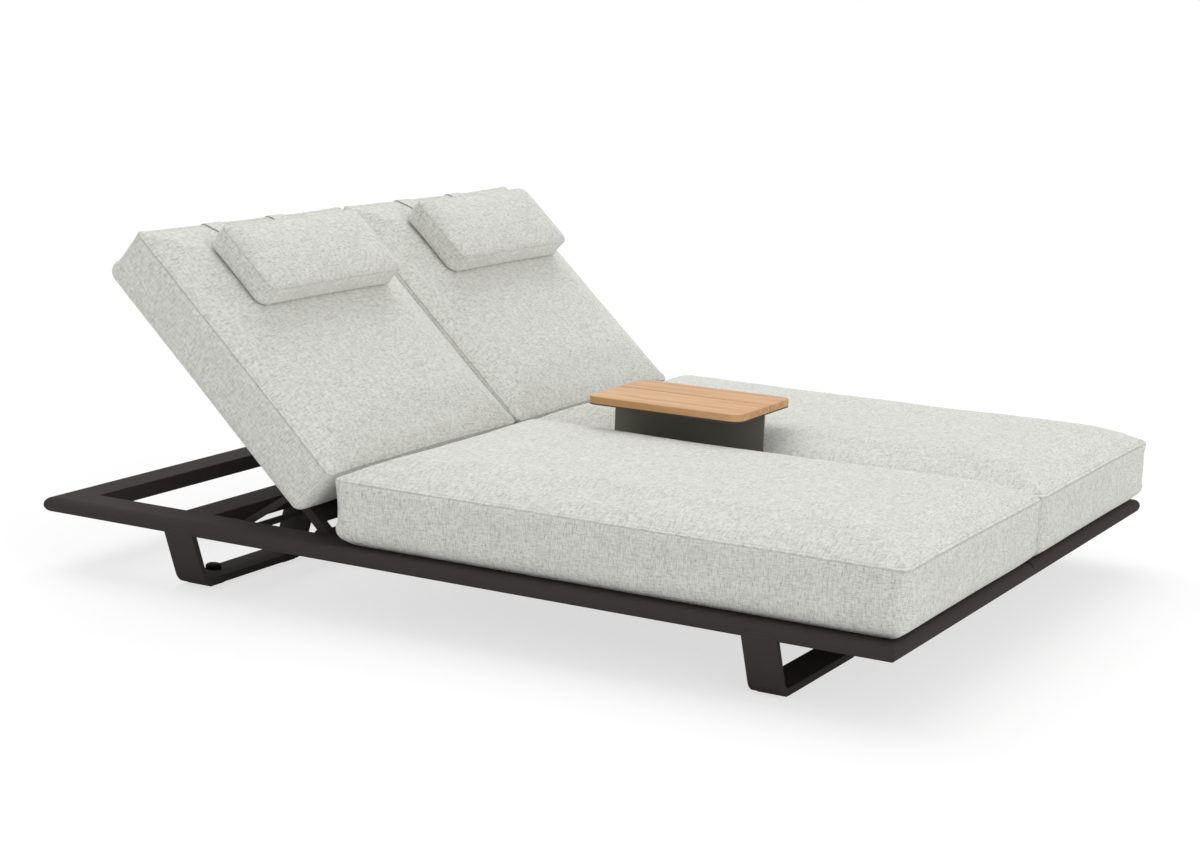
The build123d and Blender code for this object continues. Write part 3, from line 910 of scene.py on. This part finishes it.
    def mesh(self, name: str, points: np.ndarray) -> bpy.types.Mesh:
        """Makes the mesh with its chart and its seam marked.

        Args:
            name: The mesh's name.
            points: Places of the points.

        Returns:
            The mesh.
        """
        mesh = cloth_mesh(name, points, self.faces, self.chart)
        on_seam = np.zeros(len(points), bool)
        on_seam[self.seam] = True
        sharp = [on_seam[edge.vertices[0]] and on_seam[edge.vertices[1]] for edge in mesh.edges]
        store(mesh, "crease_edge", "EDGE", np.where(sharp, self.seam_crease, 0.0))
        return mesh


@dataclass(frozen=True)
class Fill:
    """The short cloth simulation that fills a cover, and how far it may move a point."""

    pressure: float = 4.0
    cap: float = 0.006
    side_cap: float = 0.0045
    frames: int = 20
    quality: int = 6
    mass: float = 0.25
    stretch: float = 22.0
    shear: float = 8.0
    bending: float = 1.2
    hold: float = 0.6

    def run(self, form: CushionForm, points: np.ndarray) -> np.ndarray:
        """Inflates a cover that is held at its underside and its seam.

        Args:
            form: The cover's form.
            points: The slack cover.

        Returns:
            The filled cover.
        """
        piece = mesh_object("filling", form.mesh("filling", points))
        held = piece.vertex_groups.new(name="held")
        held.add(list(range(form.under_count)) + form.seam.tolist(), 1.0, "REPLACE")
        cloth = piece.modifiers.new("cover", "CLOTH")
        settings = cloth.settings
        settings.quality = self.quality
        settings.mass = self.mass
        settings.tension_stiffness = self.stretch
        settings.compression_stiffness = self.stretch
        settings.shear_stiffness = self.shear
        settings.bending_stiffness = self.bending
        settings.use_pressure = True
        settings.uniform_pressure_force = self.pressure
        settings.vertex_group_mass = held.name
        settings.pin_stiffness = self.hold
        settings.effector_weights.gravity = 0
        cloth.collision_settings.use_collision = False
        cloth.point_cache.frame_start = 1
        cloth.point_cache.frame_end = self.frames
        scene = bpy.context.scene
        for number in range(1, self.frames + 1):
            scene.frame_set(number)
        graph = bpy.context.evaluated_depsgraph_get()
        moved = read_points(piece.evaluated_get(graph).to_mesh())
        piece.evaluated_get(graph).to_mesh_clear()
        scene.frame_set(1)
        old = piece.data
        bpy.data.objects.remove(piece)
        bpy.data.meshes.remove(old)
        step = moved - points
        size = np.linalg.norm(step, axis=1, keepdims=True)
        on_side = (points[:, 2] <= form.boxing)[:, None]
        cap = np.where(on_side, self.side_cap, self.cap)
        return points + step * np.minimum(1.0, cap / np.maximum(size, 1e-9))


@dataclass(frozen=True)
class Wear:
    """What use does to a cover: slow waves, a waist, lifted lower corners and eared upper ones."""

    waves: float = 0.0016
    quick_share: float = 0.35
    slow_scale: float = 7.0
    quick_scale: float = 21.0
    pucker: float = 0.0007
    pucker_scale: float = 46.0
    pucker_reach: float = 0.016
    corner_lift: float = 0.008
    corner_share: float = 0.20
    low_share: float = 0.45
    waist: float = 0.003
    ear: float = 0.003
    ear_share: float = 0.12
    side_power: int = 6
    end_power: int = 12
    outward_power: int = 8
    upward_share: float = 1.5
    free_height: float = 0.03

    def settle(self, form: CushionForm, points: np.ndarray, seed: float) -> np.ndarray:
        """Wears a cover in.

        Args:
            form: The cover's form.
            points: The fitted cover.
            seed: Offset of its waves.

        Returns:
            The settled cover.
        """
        out = points.copy()
        share_x = np.abs(points[:, 0]) / (form.length / 2)
        share_y = np.abs(points[:, 1]) / (form.width / 2)
        height = points[:, 2] / form.boxing
        corner = np.clip((share_x * share_y - (1 - self.corner_share)) / self.corner_share, 0, 1) ** 2
        low = np.clip(1 - height / self.low_share, 0, 1)
        out[:, 2] += self.corner_lift * corner * low
        at_seam = np.exp(-((height - 1) / self.ear_share) ** 2)
        out[:, 0] += np.sign(points[:, 0]) * self.ear * corner * at_seam
        out[:, 1] += np.sign(points[:, 1]) * self.ear * corner * at_seam
        out[:, 2] += self.ear * corner * at_seam
        out[:, 1] -= np.sign(points[:, 1]) * self.waist * (1 - share_x ** 2) * share_y ** self.side_power
        out[:, 0] -= np.sign(points[:, 0]) * self.waist * (1 - share_y ** 2) * share_x ** self.end_power
        free = np.clip(points[:, 2] / self.free_height, 0, 1)
        for index in np.flatnonzero(free):
            point = points[index]
            push = self._push(point, form.boxing, seed)
            outward = np.array([point[0] * share_x[index] ** self.outward_power,
                                point[1] * share_y[index] ** self.outward_power,
                                (point[2] - form.boxing / 2) * self.upward_share])
            out[index] += free[index] * push * outward / max(np.linalg.norm(outward), 1e-6)
        under = slice(0, form.under_count)
        out[under, 2] = np.maximum(out[under, 2], 0.0)
        return out

    def _push(self, point: np.ndarray, seam_height: float, seed: float) -> float:
        """How far the waves and the seam's gathers push a point outwards.

        Args:
            point: The point.
            seam_height: Height of the seam.
            seed: Offset of the waves.

        Returns:
            The push.
        """
        place = Vector(point)
        slow = noise.noise(place * self.slow_scale + Vector((seed, 0, 0)))
        quick = noise.noise(place * self.quick_scale + Vector((0, seed, 0)))
        near_seam = math.exp(-abs(point[2] - seam_height) / self.pucker_reach)
        around = [part * self.pucker_scale for part in point[:2]]
        gathers = noise.noise(Vector((*around, seed)))
        return self.waves * (slow + self.quick_share * quick) + self.pucker * near_seam * gathers


@dataclass
class BoxedCushion:
    """A cushion of two panels and a boxing, filled, seamed and stitched."""

    name: str
    half: Half
    node: str
    body: str
    form: CushionForm
    placement: Placement
    filling: Fill = Fill()
    wear: Wear = Wear()
    tightness: float = 0.8
    side_swell: float = 0.0015
    start_share: float = 0.97
    line_gap: float = 0.001
    mark_gap: float = 0.0015
    groove_width: float = 0.0022
    groove_depth: float = 0.0016
    stitch_inset: float = 0.008
    stitch_raise: float = 0.0002
    filled: dict = field(default_factory=dict)

    def start_points(self) -> np.ndarray:
        """The cover before it is filled, a little slack.

        Returns:
            Places of the points.
        """
        points = self.form.points.copy()
        seam_z = self.form.boxing
        raised = points[:, 2] > seam_z
        points[raised, 2] = seam_z + (points[raised, 2] - seam_z) * self.start_share
        return points

    def fill_cover(self, points: np.ndarray) -> np.ndarray:
        """Fills the cover, once for both halves, which share their sizes.

        Args:
            points: The slack cover.

        Returns:
            The filled cover.
        """
        kind = self.name.removeprefix(self.half.prefix)
        if kind not in self.filled:
            self.filled[kind] = self.filling.run(self.form, points)
        return self.filled[kind]

    def fitted(self, points: np.ndarray) -> np.ndarray:
        """Brings the filled cover to the cushion's own height and width.

        Args:
            points: The filled cover.

        Returns:
            The cover inside its space.
        """
        out = points.copy()
        for axis, size in ((0, self.form.length), (1, self.form.width)):
            out[:, axis] = np.clip(out[:, axis], -size / 2 - self.side_swell, size / 2 + self.side_swell)
        out[:, 2] = np.maximum(out[:, 2], 0.0)
        return out

    def sew(self, piece: bpy.types.Object) -> np.ndarray:
        """Sinks the seam between the top panel and the boxing into a narrow valley.

        Args:
            piece: The smoothed cushion, drawn flat.

        Returns:
            The line of the seam.
        """
        full_weight = 0.99
        mesh = bmesh.new()
        mesh.from_mesh(piece.data)
        layer = mesh.verts.layers.deform.verify()
        group = piece.vertex_groups["seam"].index
        seam = {vert for vert in mesh.verts if vert[layer].get(group, 0.0) > full_weight}
        edges = [edge for edge in mesh.edges if edge.verts[0] in seam and edge.verts[1] in seam]
        line = np.array([tuple(vert.co) for vert in self._walk(edges)])
        tree = self._tree(self._dense(line, self.line_gap))
        result = bmesh.ops.bevel(
            mesh, geom=edges, offset=self.groove_width, offset_type="OFFSET", segments=2, profile=0.5,
            affect="EDGES", clamp_overlap=True)
        mesh.normal_update()
        for vert in result["verts"]:
            if tree.find(vert.co)[2] < self.groove_width / 2:
                vert.co -= vert.normal * self.groove_depth
        mesh.to_mesh(piece.data)
        mesh.free()
        return line

    @staticmethod
    def _walk(edges: Sequence[bmesh.types.BMEdge]) -> list[bmesh.types.BMVert]:
        """Orders the points of a closed line.

        Args:
            edges: Its edges.

        Returns:
            Its points in order.
        """
        allowed = set(edges)
        first = edges[0]
        walked = [first.verts[0], first.verts[1]]
        used = {first}
        while True:
            step = next((e for e in walked[-1].link_edges if e in allowed and e not in used), None)
            if step is None:
                return walked[:-1]
            used.add(step)
            walked.append(step.other_vert(walked[-1]))

    @staticmethod
    def _dense(line: np.ndarray, step: float) -> np.ndarray:
        """Adds points along a closed line.

        Args:
            line: Its points.
            step: Widest gap between the new points.

        Returns:
            The denser line.
        """
        rows = []
        for start, end in zip(line, np.roll(line, -1, axis=0)):
            count = max(1, int(np.linalg.norm(end - start) / step))
            rows += [start + (end - start) * k / count for k in range(count)]
        return np.array(rows)

    @staticmethod
    def _tree(points: np.ndarray) -> KDTree:
        """Search tree of points.

        Args:
            points: Their places.

        Returns:
            The tree.
        """
        tree = KDTree(len(points))
        for index, point in enumerate(points):
            tree.insert(point, index)
        tree.balance()
        return tree

    def mark_seam(self, piece: bpy.types.Object, line: np.ndarray) -> None:
        """Stores each point's distance from the seam's line, for the cloth's painted seam shade and relief.
        """
        tree = self._tree(self._dense(line, self.mark_gap))
        store(piece.data, "seam_gap", "POINT", [tree.find(vert.co)[2] for vert in piece.data.vertices])

    def reshape(self, points: np.ndarray) -> np.ndarray:
        """Leaves the settled cover as it is, for cushions that lie on something even."""
        return points

    def build(self, cloth: bpy.types.Material) -> bpy.types.Object:
        """Args:
            cloth: Its cover's material.

        Returns:
            The finished cushion.
        """
        self.form.build()
        points = self.start_points()
        points = self.fill_cover(points)
        points = self.reshape(self.wear.settle(self.form, self.fitted(points), self.half.wave_seed))
        piece = mesh_object(self.name, self.form.mesh(self.name, points))
        piece.vertex_groups.new(name="seam").add(self.form.seam.tolist(), 1.0, "REPLACE")
        smooth = piece.modifiers.new("smooth", "SUBSURF")
        smooth.levels = 1
        smooth.render_levels = 1
        settle_mesh(piece)
        self.line = self.sew(piece)
        self.mark_seam(piece, self.line)
        flat = read_points(piece.data)
        self.surface = BVHTree.FromPolygons(
            [tuple(point) for point in flat + np.array(self.placement.shift)],
            [tuple(face.vertices) for face in piece.data.polygons])
        write_points(piece.data, self.placement.world(flat))
        smooth_shading(piece)
        clothe(piece, cloth)
        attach(piece, self.body)
        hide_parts(self.node)
        return piece

    def stitch_path(self) -> np.ndarray:
        """Line of the topstitch on the top panel, a little inside the seam.

        Returns:
            Its points in the lounger's frame.
        """
        point_gap, neighbour, ray_height = 0.004, 3, 0.08
        dense = self._dense(self.line, point_gap)
        run = np.roll(dense, -neighbour, axis=0) - np.roll(dense, neighbour, axis=0)
        run /= np.linalg.norm(run, axis=1, keepdims=True)
        inward = np.cross(np.array(UP), run)
        if np.sum(inward * dense) > 0:
            inward = -inward
        shift = np.array(self.placement.shift)
        rows = []
        for point in dense + inward * self.stitch_inset + shift:
            hit = self.surface.ray_cast(Vector(point) + UP * ray_height, DOWN)
            if hit[0] is not None:
                rows.append(np.array(hit[0]) - shift + np.array([0, 0, self.stitch_raise]))
        return self.placement.world(np.array(rows))


@dataclass
class HeadrestPillow(BoxedCushion):
    """Small pillow that settles on the backrest cushion and its straps."""

    bed: BoxedCushion | None = None
    strap_rise: float = 0.0031
    give_share: float = 0.75
    top_share: float = 0.45
    ray_height: float = 0.5

    def reshape(self, points: np.ndarray) -> np.ndarray:
        """Lets the pillow down onto the cushion under it.

        Args:
            points: The settled cover.

        Returns:
            The cover, with its underside near the cushion.
        """
        out = points.copy()
        shift = np.array(self.placement.shift)
        for index, point in enumerate(points):
            place = point + shift
            hit = self.bed.surface.ray_cast(Vector((place[0], place[1], self.ray_height)), DOWN)
            if hit[0] is None:
                continue
            gap = shift[2] - (hit[0].z + self.strap_rise)
            share = 1 - self.top_share * min(1.0, max(0.0, point[2] / self.form.boxing))
            out[index, 2] -= max(0.0, gap) * self.give_share * share
        return out


class StitchRow:
    """A row of stitches along a closed line, laid out by a Geometry Nodes tree."""

    sides, rings = 6, 4

    def __init__(self) -> None:
        """Builds the tree."""
        tree = bpy.data.node_groups.new("stitch_row", "GeometryNodeTree")
        for name, kind in (("Line", "Geometry"), ("Pitch", "Float"), ("Length", "Float"),
                           ("Thickness", "Float"), ("Thread", "Material")):
            tree.interface.new_socket(name=name, in_out="INPUT", socket_type=f"NodeSocket{kind}")
        tree.interface.new_socket(name="Stitches", in_out="OUTPUT", socket_type="NodeSocketGeometry")
        graph = Graph(tree)
        given = graph.add("NodeGroupInput").outputs
        curve = graph.fill(graph.add("GeometryNodeMeshToCurve"), Mesh=given["Line"])
        points = graph.fill(graph.add("GeometryNodeCurveToPoints", mode="LENGTH"), Curve=curve.outputs[0],
                            Length=given["Pitch"]).outputs
        bead = graph.fill(graph.add("GeometryNodeMeshUVSphere"), Segments=self.sides, Rings=self.rings,
                          Radius=1.0)
        half = graph.times(given["Thickness"], 0.5)
        size = graph.combine(half, half, graph.times(given["Length"], 0.5))
        place = graph.fill(graph.add("GeometryNodeInstanceOnPoints"), Points=points["Points"],
                           Instance=bead.outputs["Mesh"], Rotation=points["Rotation"], Scale=size)
        real = graph.fill(graph.add("GeometryNodeRealizeInstances"), Geometry=place.outputs[0])
        dressed = graph.fill(graph.add("GeometryNodeSetMaterial"), Geometry=real.outputs[0],
                             Material=given["Thread"])
        graph.fill(graph.add("NodeGroupOutput"), Stitches=dressed.outputs[0])
        self.tree = tree

    def lay(self, name: str, path: np.ndarray, thread: bpy.types.Material, pitch: float = 0.0062,
            length: float = 0.0046, thickness: float = 0.0011) -> bpy.types.Object:
        """Lays stitches along a line.

        Args:
            name: The piece's name.
            path: The closed line.
            thread: The thread's material.
            pitch: From one stitch to the next.
            length: Length of a stitch.
            thickness: Its thickness.

        Returns:
            The row as a plain mesh.
        """
        mesh = bpy.data.meshes.new(name)
        count = len(path)
        mesh.from_pydata([tuple(p) for p in path], [(k, (k + 1) % count) for k in range(count)], [])
        piece = mesh_object(name, mesh)
        modifier = piece.modifiers.new("stitches", "NODES")
        modifier.node_group = self.tree
        wanted = {"Pitch": pitch, "Length": length, "Thickness": thickness, "Thread": thread}
        for item in self.tree.interface.items_tree:
            if item.name in wanted:
                modifier[item.identifier] = wanted[item.name]
        settle_mesh(piece)
        smooth_shading(piece)
        return piece


@dataclass
class PillowStraps:
    """Two flat bands over the top end of a backrest cushion, which carry the pillow."""

    half: Half
    cushion: BoxedCushion
    middle_y: float
    placement: Placement
    spacing: float = 0.230
    width: float = 0.060
    thickness: float = 0.0025
    soft_edge: float = 0.0007
    end_x: float = -0.7273
    end_gap: float = 0.0006
    tube_bottom: float = 0.0175
    front_x: float = -0.4893
    lift: float = 0.0004
    rise_from: float = 0.078
    rise: float = 0.052
    turn_centre: tuple = (-0.652, 0.0, 0.125)
    rise_steps: int = 8
    turn_steps: int = 24
    top_steps: int = 24
    tail_steps: int = 5
    across_steps: int = 6

    def _rays(self) -> list[tuple[Vector, Vector]]:
        """Rays in the side view that meet the cushion along the band's path.

        Returns:
            Start and direction of each ray, with Y at zero.
        """
        beyond_x, around, above = -0.80, 0.25, 0.40
        rays = []
        centre = Vector(self.turn_centre)
        for step in range(self.rise_steps):
            z = self.rise_from + self.rise * step / self.rise_steps
            rays.append((Vector((beyond_x, 0, z)), Vector((1, 0, 0))))
        for step in range(self.turn_steps + 1):
            angle = math.radians(180 - 90 * step / self.turn_steps)
            outward = Vector((math.cos(angle), 0, math.sin(angle)))
            rays.append((centre + outward * around, -outward))
        for step in range(1, self.top_steps + 1):
            x = centre.x + (self.front_x - centre.x) * step / self.top_steps
            rays.append((Vector((x, 0, above)), DOWN))
        return rays

    def _column(self, y: float) -> list[Vector]:
        """Line along a band, from under the top tube over the cushion to its front end.

        Args:
            y: Where it runs.

        Returns:
            Its points.
        """
        path = []
        for start, direction in self._rays():
            hit = self.cushion.surface.ray_cast(start + Vector((0, y, 0)), direction)
            if hit[0] is not None:
                path.append(hit[0] - direction * self.lift)
        low = path[0].copy()
        tail = []
        for step in range(self.tail_steps):
            share = step / self.tail_steps
            z = self.tube_bottom + (low.z - self.tube_bottom) * step / self.tail_steps
            tail.append(Vector((self.end_x - self.end_gap + (low.x - self.end_x) * share ** 2, y, z)))
        return tail + path

    def _band(self, name: str, middle: float) -> bpy.types.Object:
        """Makes one band.

        Args:
            name: Its name.
            middle: Y of its middle.

        Returns:
            The band, drawn flat.
        """
        steps = self.across_steps
        rows = [self._column(middle + self.width * (column / steps - 0.5)) for column in range(steps + 1)]
        count = min(len(row) for row in rows)
        run = [0.0]
        for k in range(1, count):
            run.append(run[-1] + (rows[0][k] - rows[0][k - 1]).length)
        faces = []
        chart = []
        for column in range(steps):
            low_y, high_y = (self.width * number / steps for number in (column, column + 1))
            for k in range(count - 1):
                a = column * count + k
                faces.append((a, a + 1, a + count + 1, a + count))
                chart += [(run[k], low_y), (run[k + 1], low_y), (run[k + 1], high_y), (run[k], high_y)]
        mesh = cloth_mesh(name, [row[k] for row in rows for k in range(count)], faces, chart)
        # Painted shade: seam_gap is zero at each band's two long edges, so the cloth darkens there as a
        # painted shadow along the edges.
        gaps = [self.width * min(column, steps - column) / steps for column in range(steps + 1)]
        store(mesh, "seam_gap", "POINT", np.repeat(gaps, count))
        piece = mesh_object(name, mesh)
        wall = piece.modifiers.new("wall", "SOLIDIFY")
        wall.thickness = self.thickness
        wall.offset = 1.0
        soft = piece.modifiers.new("soft", "BEVEL")
        soft.width = self.soft_edge
        soft.segments = 2
        soft.limit_method = "ANGLE"
        return piece

    def build(self, cloth: bpy.types.Material) -> list[bpy.types.Object]:
        """Args:
            cloth: Their material.

        Returns:
            The bands.
        """
        bands = []
        for number, side in enumerate((-1, 1), start=1):
            name = f"{self.half.prefix}_pillow_strap_{number}"
            band = self._band(name, self.middle_y + side * self.spacing / 2)
            settle_mesh(band)
            write_points(band.data, self.placement.world(read_points(band.data)))
            smooth_shading(band)
            clothe(band, cloth)
            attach(band, f"{self.half.prefix}_back")
            bands.append(band)
        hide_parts(f"{self.half.prefix}_headrest_straps")
        return bands


@dataclass
class LoungerHalf:
    """Seat cushion, backrest cushion, pillow and straps of one half."""

    half: Half
    palette: Palette
    stitches: StitchRow
    filled: dict
    back_angle_deg: float = 42.5
    seat_boxing: float = 0.136
    seat_crown: float = 0.048
    back_length: float = 0.6844
    back_start: float = 0.0429
    back_width: float = 0.745
    back_base: float = 0.0378
    back_boxing: float = 0.136
    back_crown: float = 0.040
    pillow_length: float = 0.196
    pillow_width: float = 0.504
    pillow_start: float = -0.6453
    pillow_base: float = 0.2170
    pillow_boxing: float = 0.055
    pillow_crown: float = 0.020

    def named(self, part: str) -> str:
        """Name of this half's part, node or body."""
        return f"{self.half.prefix}_{part}"

    def raised(self, *shift: float) -> Placement:
        """Placement of a piece that is drawn flat beside this half's backrest hinge.

        Args:
            shift: Its place from the hinge, with Y from the lounger's middle.

        Returns:
            The placement.
        """
        joint = next(j for j in frame["joints"] if j["name"] == self.named("back_recline"))
        origin = (joint["pos_m"][0], 0.0, joint["pos_m"][2])
        return Placement(origin=origin, shift=shift or (0.0, 0.0, 0.0), raised_deg=self.back_angle_deg)

    def seat(self) -> BoxedCushion:
        """Describes the seat cushion.

        Returns:
            The cushion, not yet built.
        """
        low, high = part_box(self.named("seat_cushion"))
        form = CushionForm(length=high.x - low.x, width=high.y - low.y, boxing=self.seat_boxing,
                           crown=self.seat_crown)
        place = Placement(shift=((low.x + high.x) / 2, (low.y + high.y) / 2, low.z))
        return BoxedCushion(self.named("seat_pad"), self.half, self.named("seat_cushion"), "frame", form,
                            place, filled=self.filled)

    def back(self, middle_y: float) -> BoxedCushion:
        """Describes the backrest cushion.

        Args:
            middle_y: Y of its middle.

        Returns:
            The cushion, not yet built.
        """
        form = CushionForm(length=self.back_length, width=self.back_width, boxing=self.back_boxing,
                           crown=self.back_crown)
        place = self.raised(-self.back_start - self.back_length / 2, middle_y, self.back_base)
        return BoxedCushion(self.named("back_pad"), self.half, self.named("back_cushion"),
                            self.named("back"), form, place, filled=self.filled)

    def pillow(self, middle_y: float, bed: BoxedCushion) -> HeadrestPillow:
        """Describes the pillow.

        Args:
            middle_y: Y of its middle.
            bed: The cushion that it lies on.

        Returns:
            The pillow, not yet built.
        """
        form = CushionForm(
            length=self.pillow_length, width=self.pillow_width, boxing=self.pillow_boxing,
            crown=self.pillow_crown, corner_radius=0.030, edge_radius=0.016, seam_draw=0.002,
            crown_reach=0.026, cell=0.008, side_rings=6)
        place = self.raised(self.pillow_start + self.pillow_length / 2, middle_y, self.pillow_base)
        return HeadrestPillow(
            self.named("pillow"), self.half, self.named("headrest_pillow"), self.named("headrest"), form,
            place, filling=Fill(pressure=3.0, cap=0.008),
            wear=Wear(waves=0.0012, corner_lift=0.001, waist=0.002, ear=0.0005), tightness=0.75,
            groove_depth=0.0014, groove_width=0.0018, stitch_inset=0.006, filled=self.filled, bed=bed)

    def build(self) -> None:
        """Makes every soft piece of this half."""
        seat = self.seat()
        middle_y = seat.placement.shift[1]
        seat.build(self.palette.cloth)
        log.info("%s: %d stitched seam points", seat.name, len(seat.line))
        back = self.back(middle_y)
        back.build(self.palette.cloth)
        log.info("%s raised %.1f degrees", back.name, self.back_angle_deg)
        straps = PillowStraps(self.half, back, middle_y, self.raised())
        for strap in straps.build(self.palette.webbing):
            log.info("%s over the top end of %s", strap.name, back.name)
        pillow = self.pillow(middle_y, back)
        pillow.build(self.palette.pillow_cloth)
        log.info("%s on its straps", pillow.name)
        for cushion in (seat, back, pillow):
            row = self.stitches.lay(f"{cushion.name}_stitches", cushion.stitch_path(), self.palette.thread)
            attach(row, cushion.body)
            log.info("%s: %d faces", row.name, len(row.data.polygons))


def paint(node: str, material: bpy.types.Material) -> None:
    """Gives a carried-over CAD piece its material."""
    clothe(frame["nodes"][node], material)
    log.info("%s: %s", node, material.name)


@dataclass
class MetalFrame:
    """Rails, cross bars, slats, legs, hinge and prop of both halves."""

    palette: Palette
    coated: tuple = (
        "outer_side_rail", "inner_side_rail", "head_rail", "foot_rail", "head_cross_bar",
        "hinge_cross_bar", "foot_cross_bar", "seat_slats", "head_leg", "foot_leg", "prop_brackets",
        "prop_pivot_rod", "prop_rest_bar", "prop_arms", "back_side_tubes", "back_cross_tubes",
        "back_slats", "back_hinge_lugs")

    def dress(self) -> None:
        """Gives each carried-over piece its finish."""
        for half in Half:
            for name in self.coated:
                paint(f"{half.prefix}_{name}", self.palette.coat)
            paint(f"{half.prefix}_hinge_pins", self.palette.steel)
            paint(f"{half.prefix}_prop_pads", self.palette.plastic)
        paint("leg_glides", self.palette.plastic)
        paint("head_leg_buffers", self.palette.rubber)
        paint("joining_plates", self.palette.coat)
        paint("joining_screws", self.palette.steel)


@dataclass
class SideTable:
    """The small sliding table between the seats."""

    palette: Palette

    def dress(self) -> None:
        """Gives each of the table's pieces its finish."""
        paint("table_wide_plank", self.palette.wide_teak)
        paint("table_narrow_plank", self.palette.narrow_teak)
        paint("table_tray", self.palette.tray_coat)
        paint("table_panel", self.palette.panel_coat)
        paint("table_keel", self.palette.coat)
        paint("table_screws", self.palette.steel)


@dataclass
class Studio:
    """Pale floor, soft light and the camera."""

    floor_half: float = 60.0
    floor_seen: float = 0.335
    floor_true: float = 0.86
    floor_lift: float = 0.675
    sky: float = 0.62
    lamp_from: tuple = (-0.45, 0.42, 1.0)
    lamp_strength: float = 1.40
    lamp_spread_deg: float = 55.0
    fill_from: tuple = (1.0, -0.3, 0.25)
    fill_strength: float = 0.72
    lens: float = 71.59
    film_width: float = 36.0
    camera_place: tuple = (2.4921, -4.6424, 1.3409)
    camera_tilt_deg: float = 78.937
    camera_turn_deg: float = 28.599
    camera_roll_deg: float = 2.0

    @staticmethod
    def looked_at(graph: Graph) -> bpy.types.NodeSocket:
        """Tells rays that show the background from rays that only light the object.

        Args:
            graph: The tree to put the nodes in.

        Returns:
            1 for rays from the camera, in gloss or through glass, otherwise 0.
        """
        path = graph.add("ShaderNodeLightPath").outputs
        mirrored = graph.math("MAXIMUM", path["Is Glossy Ray"], path["Is Transmission Ray"])
        return graph.math("MAXIMUM", path["Is Camera Ray"], mirrored)

    def floor(self) -> None:
        """Makes the floor, which looks white where no shadow lies on it."""
        size = self.floor_half
        mesh = bpy.data.meshes.new("floor")
        mesh.from_pydata(
            [(-size, -size, 0), (size, -size, 0), (size, size, 0), (-size, size, 0)], [], [(0, 1, 2, 3)])
        piece = mesh_object("floor", mesh)
        material, graph, shader = new_material("floor_paper")
        seen = self.looked_at(graph)
        graph.fill(shader, Base_Color=graph.mix(seen, grey(self.floor_true), grey(self.floor_seen)),
                   Roughness=1.0, Specular_IOR_Level=0.0, Emission_Color=grey(1.0),
                   Emission_Strength=graph.times(seen, self.floor_lift))
        mesh.materials.append(material)

    def world(self) -> None:
        """Makes the even light all round, seen as white."""
        world = bpy.data.worlds.new("studio")
        bpy.context.scene.world = world
        world.use_nodes = True
        graph = Graph(world.node_tree)
        back = next(node for node in graph.tree.nodes if node.type == "BACKGROUND")
        seen = self.looked_at(graph)
        graph.fill(back, Color=grey(1.0), Strength=graph.plus(graph.times(seen, 1.0 - self.sky), self.sky))

    def lamp(self, name: str, start: tuple, strength: float) -> None:
        """Hangs a wide soft lamp far away.

        Args:
            name: Its name.
            start: Direction that its light comes from.
            strength: Its strength.
        """
        data = bpy.data.lights.new(name, "SUN")
        data.energy = strength
        data.angle = math.radians(self.lamp_spread_deg)
        lamp = bpy.data.objects.new(name, data)
        lamp.rotation_euler = (-Vector(start)).to_track_quat("-Z", "Y").to_euler()
        bpy.context.scene.collection.objects.link(lamp)

    def camera(self) -> None:
        """Places the camera at the photograph's angle."""
        data = bpy.data.cameras.new("camera")
        data.lens = self.lens
        data.sensor_width = self.film_width
        camera = bpy.data.objects.new("camera", data)
        camera.location = self.camera_place
        level = Euler((math.radians(self.camera_tilt_deg), 0, math.radians(self.camera_turn_deg)))
        roll = Matrix.Rotation(math.radians(self.camera_roll_deg), 3, "Z")
        camera.rotation_euler = (level.to_matrix() @ roll).to_euler()
        bpy.context.scene.collection.objects.link(camera)
        bpy.context.scene.camera = camera

    def build(self) -> None:
        """Sets up the studio."""
        self.floor()
        self.world()
        self.lamp("key_lamp", self.lamp_from, self.lamp_strength)
        self.lamp("fill_lamp", self.fill_from, self.fill_strength)
        self.camera()
        bpy.context.scene.view_settings.view_transform = "Standard"


def main() -> None:
    """Builds the lounger piece by piece."""
    logging.basicConfig(level=logging.INFO, format="%(name)s: %(message)s")
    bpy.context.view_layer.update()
    palette = Palette()
    MetalFrame(palette).dress()
    SideTable(palette).dress()
    stitches = StitchRow()
    filled: dict = {}
    for half in Half:
        LoungerHalf(half, palette, stitches, filled).build()
    Studio().build()


if __name__ == "__main__":
    main()
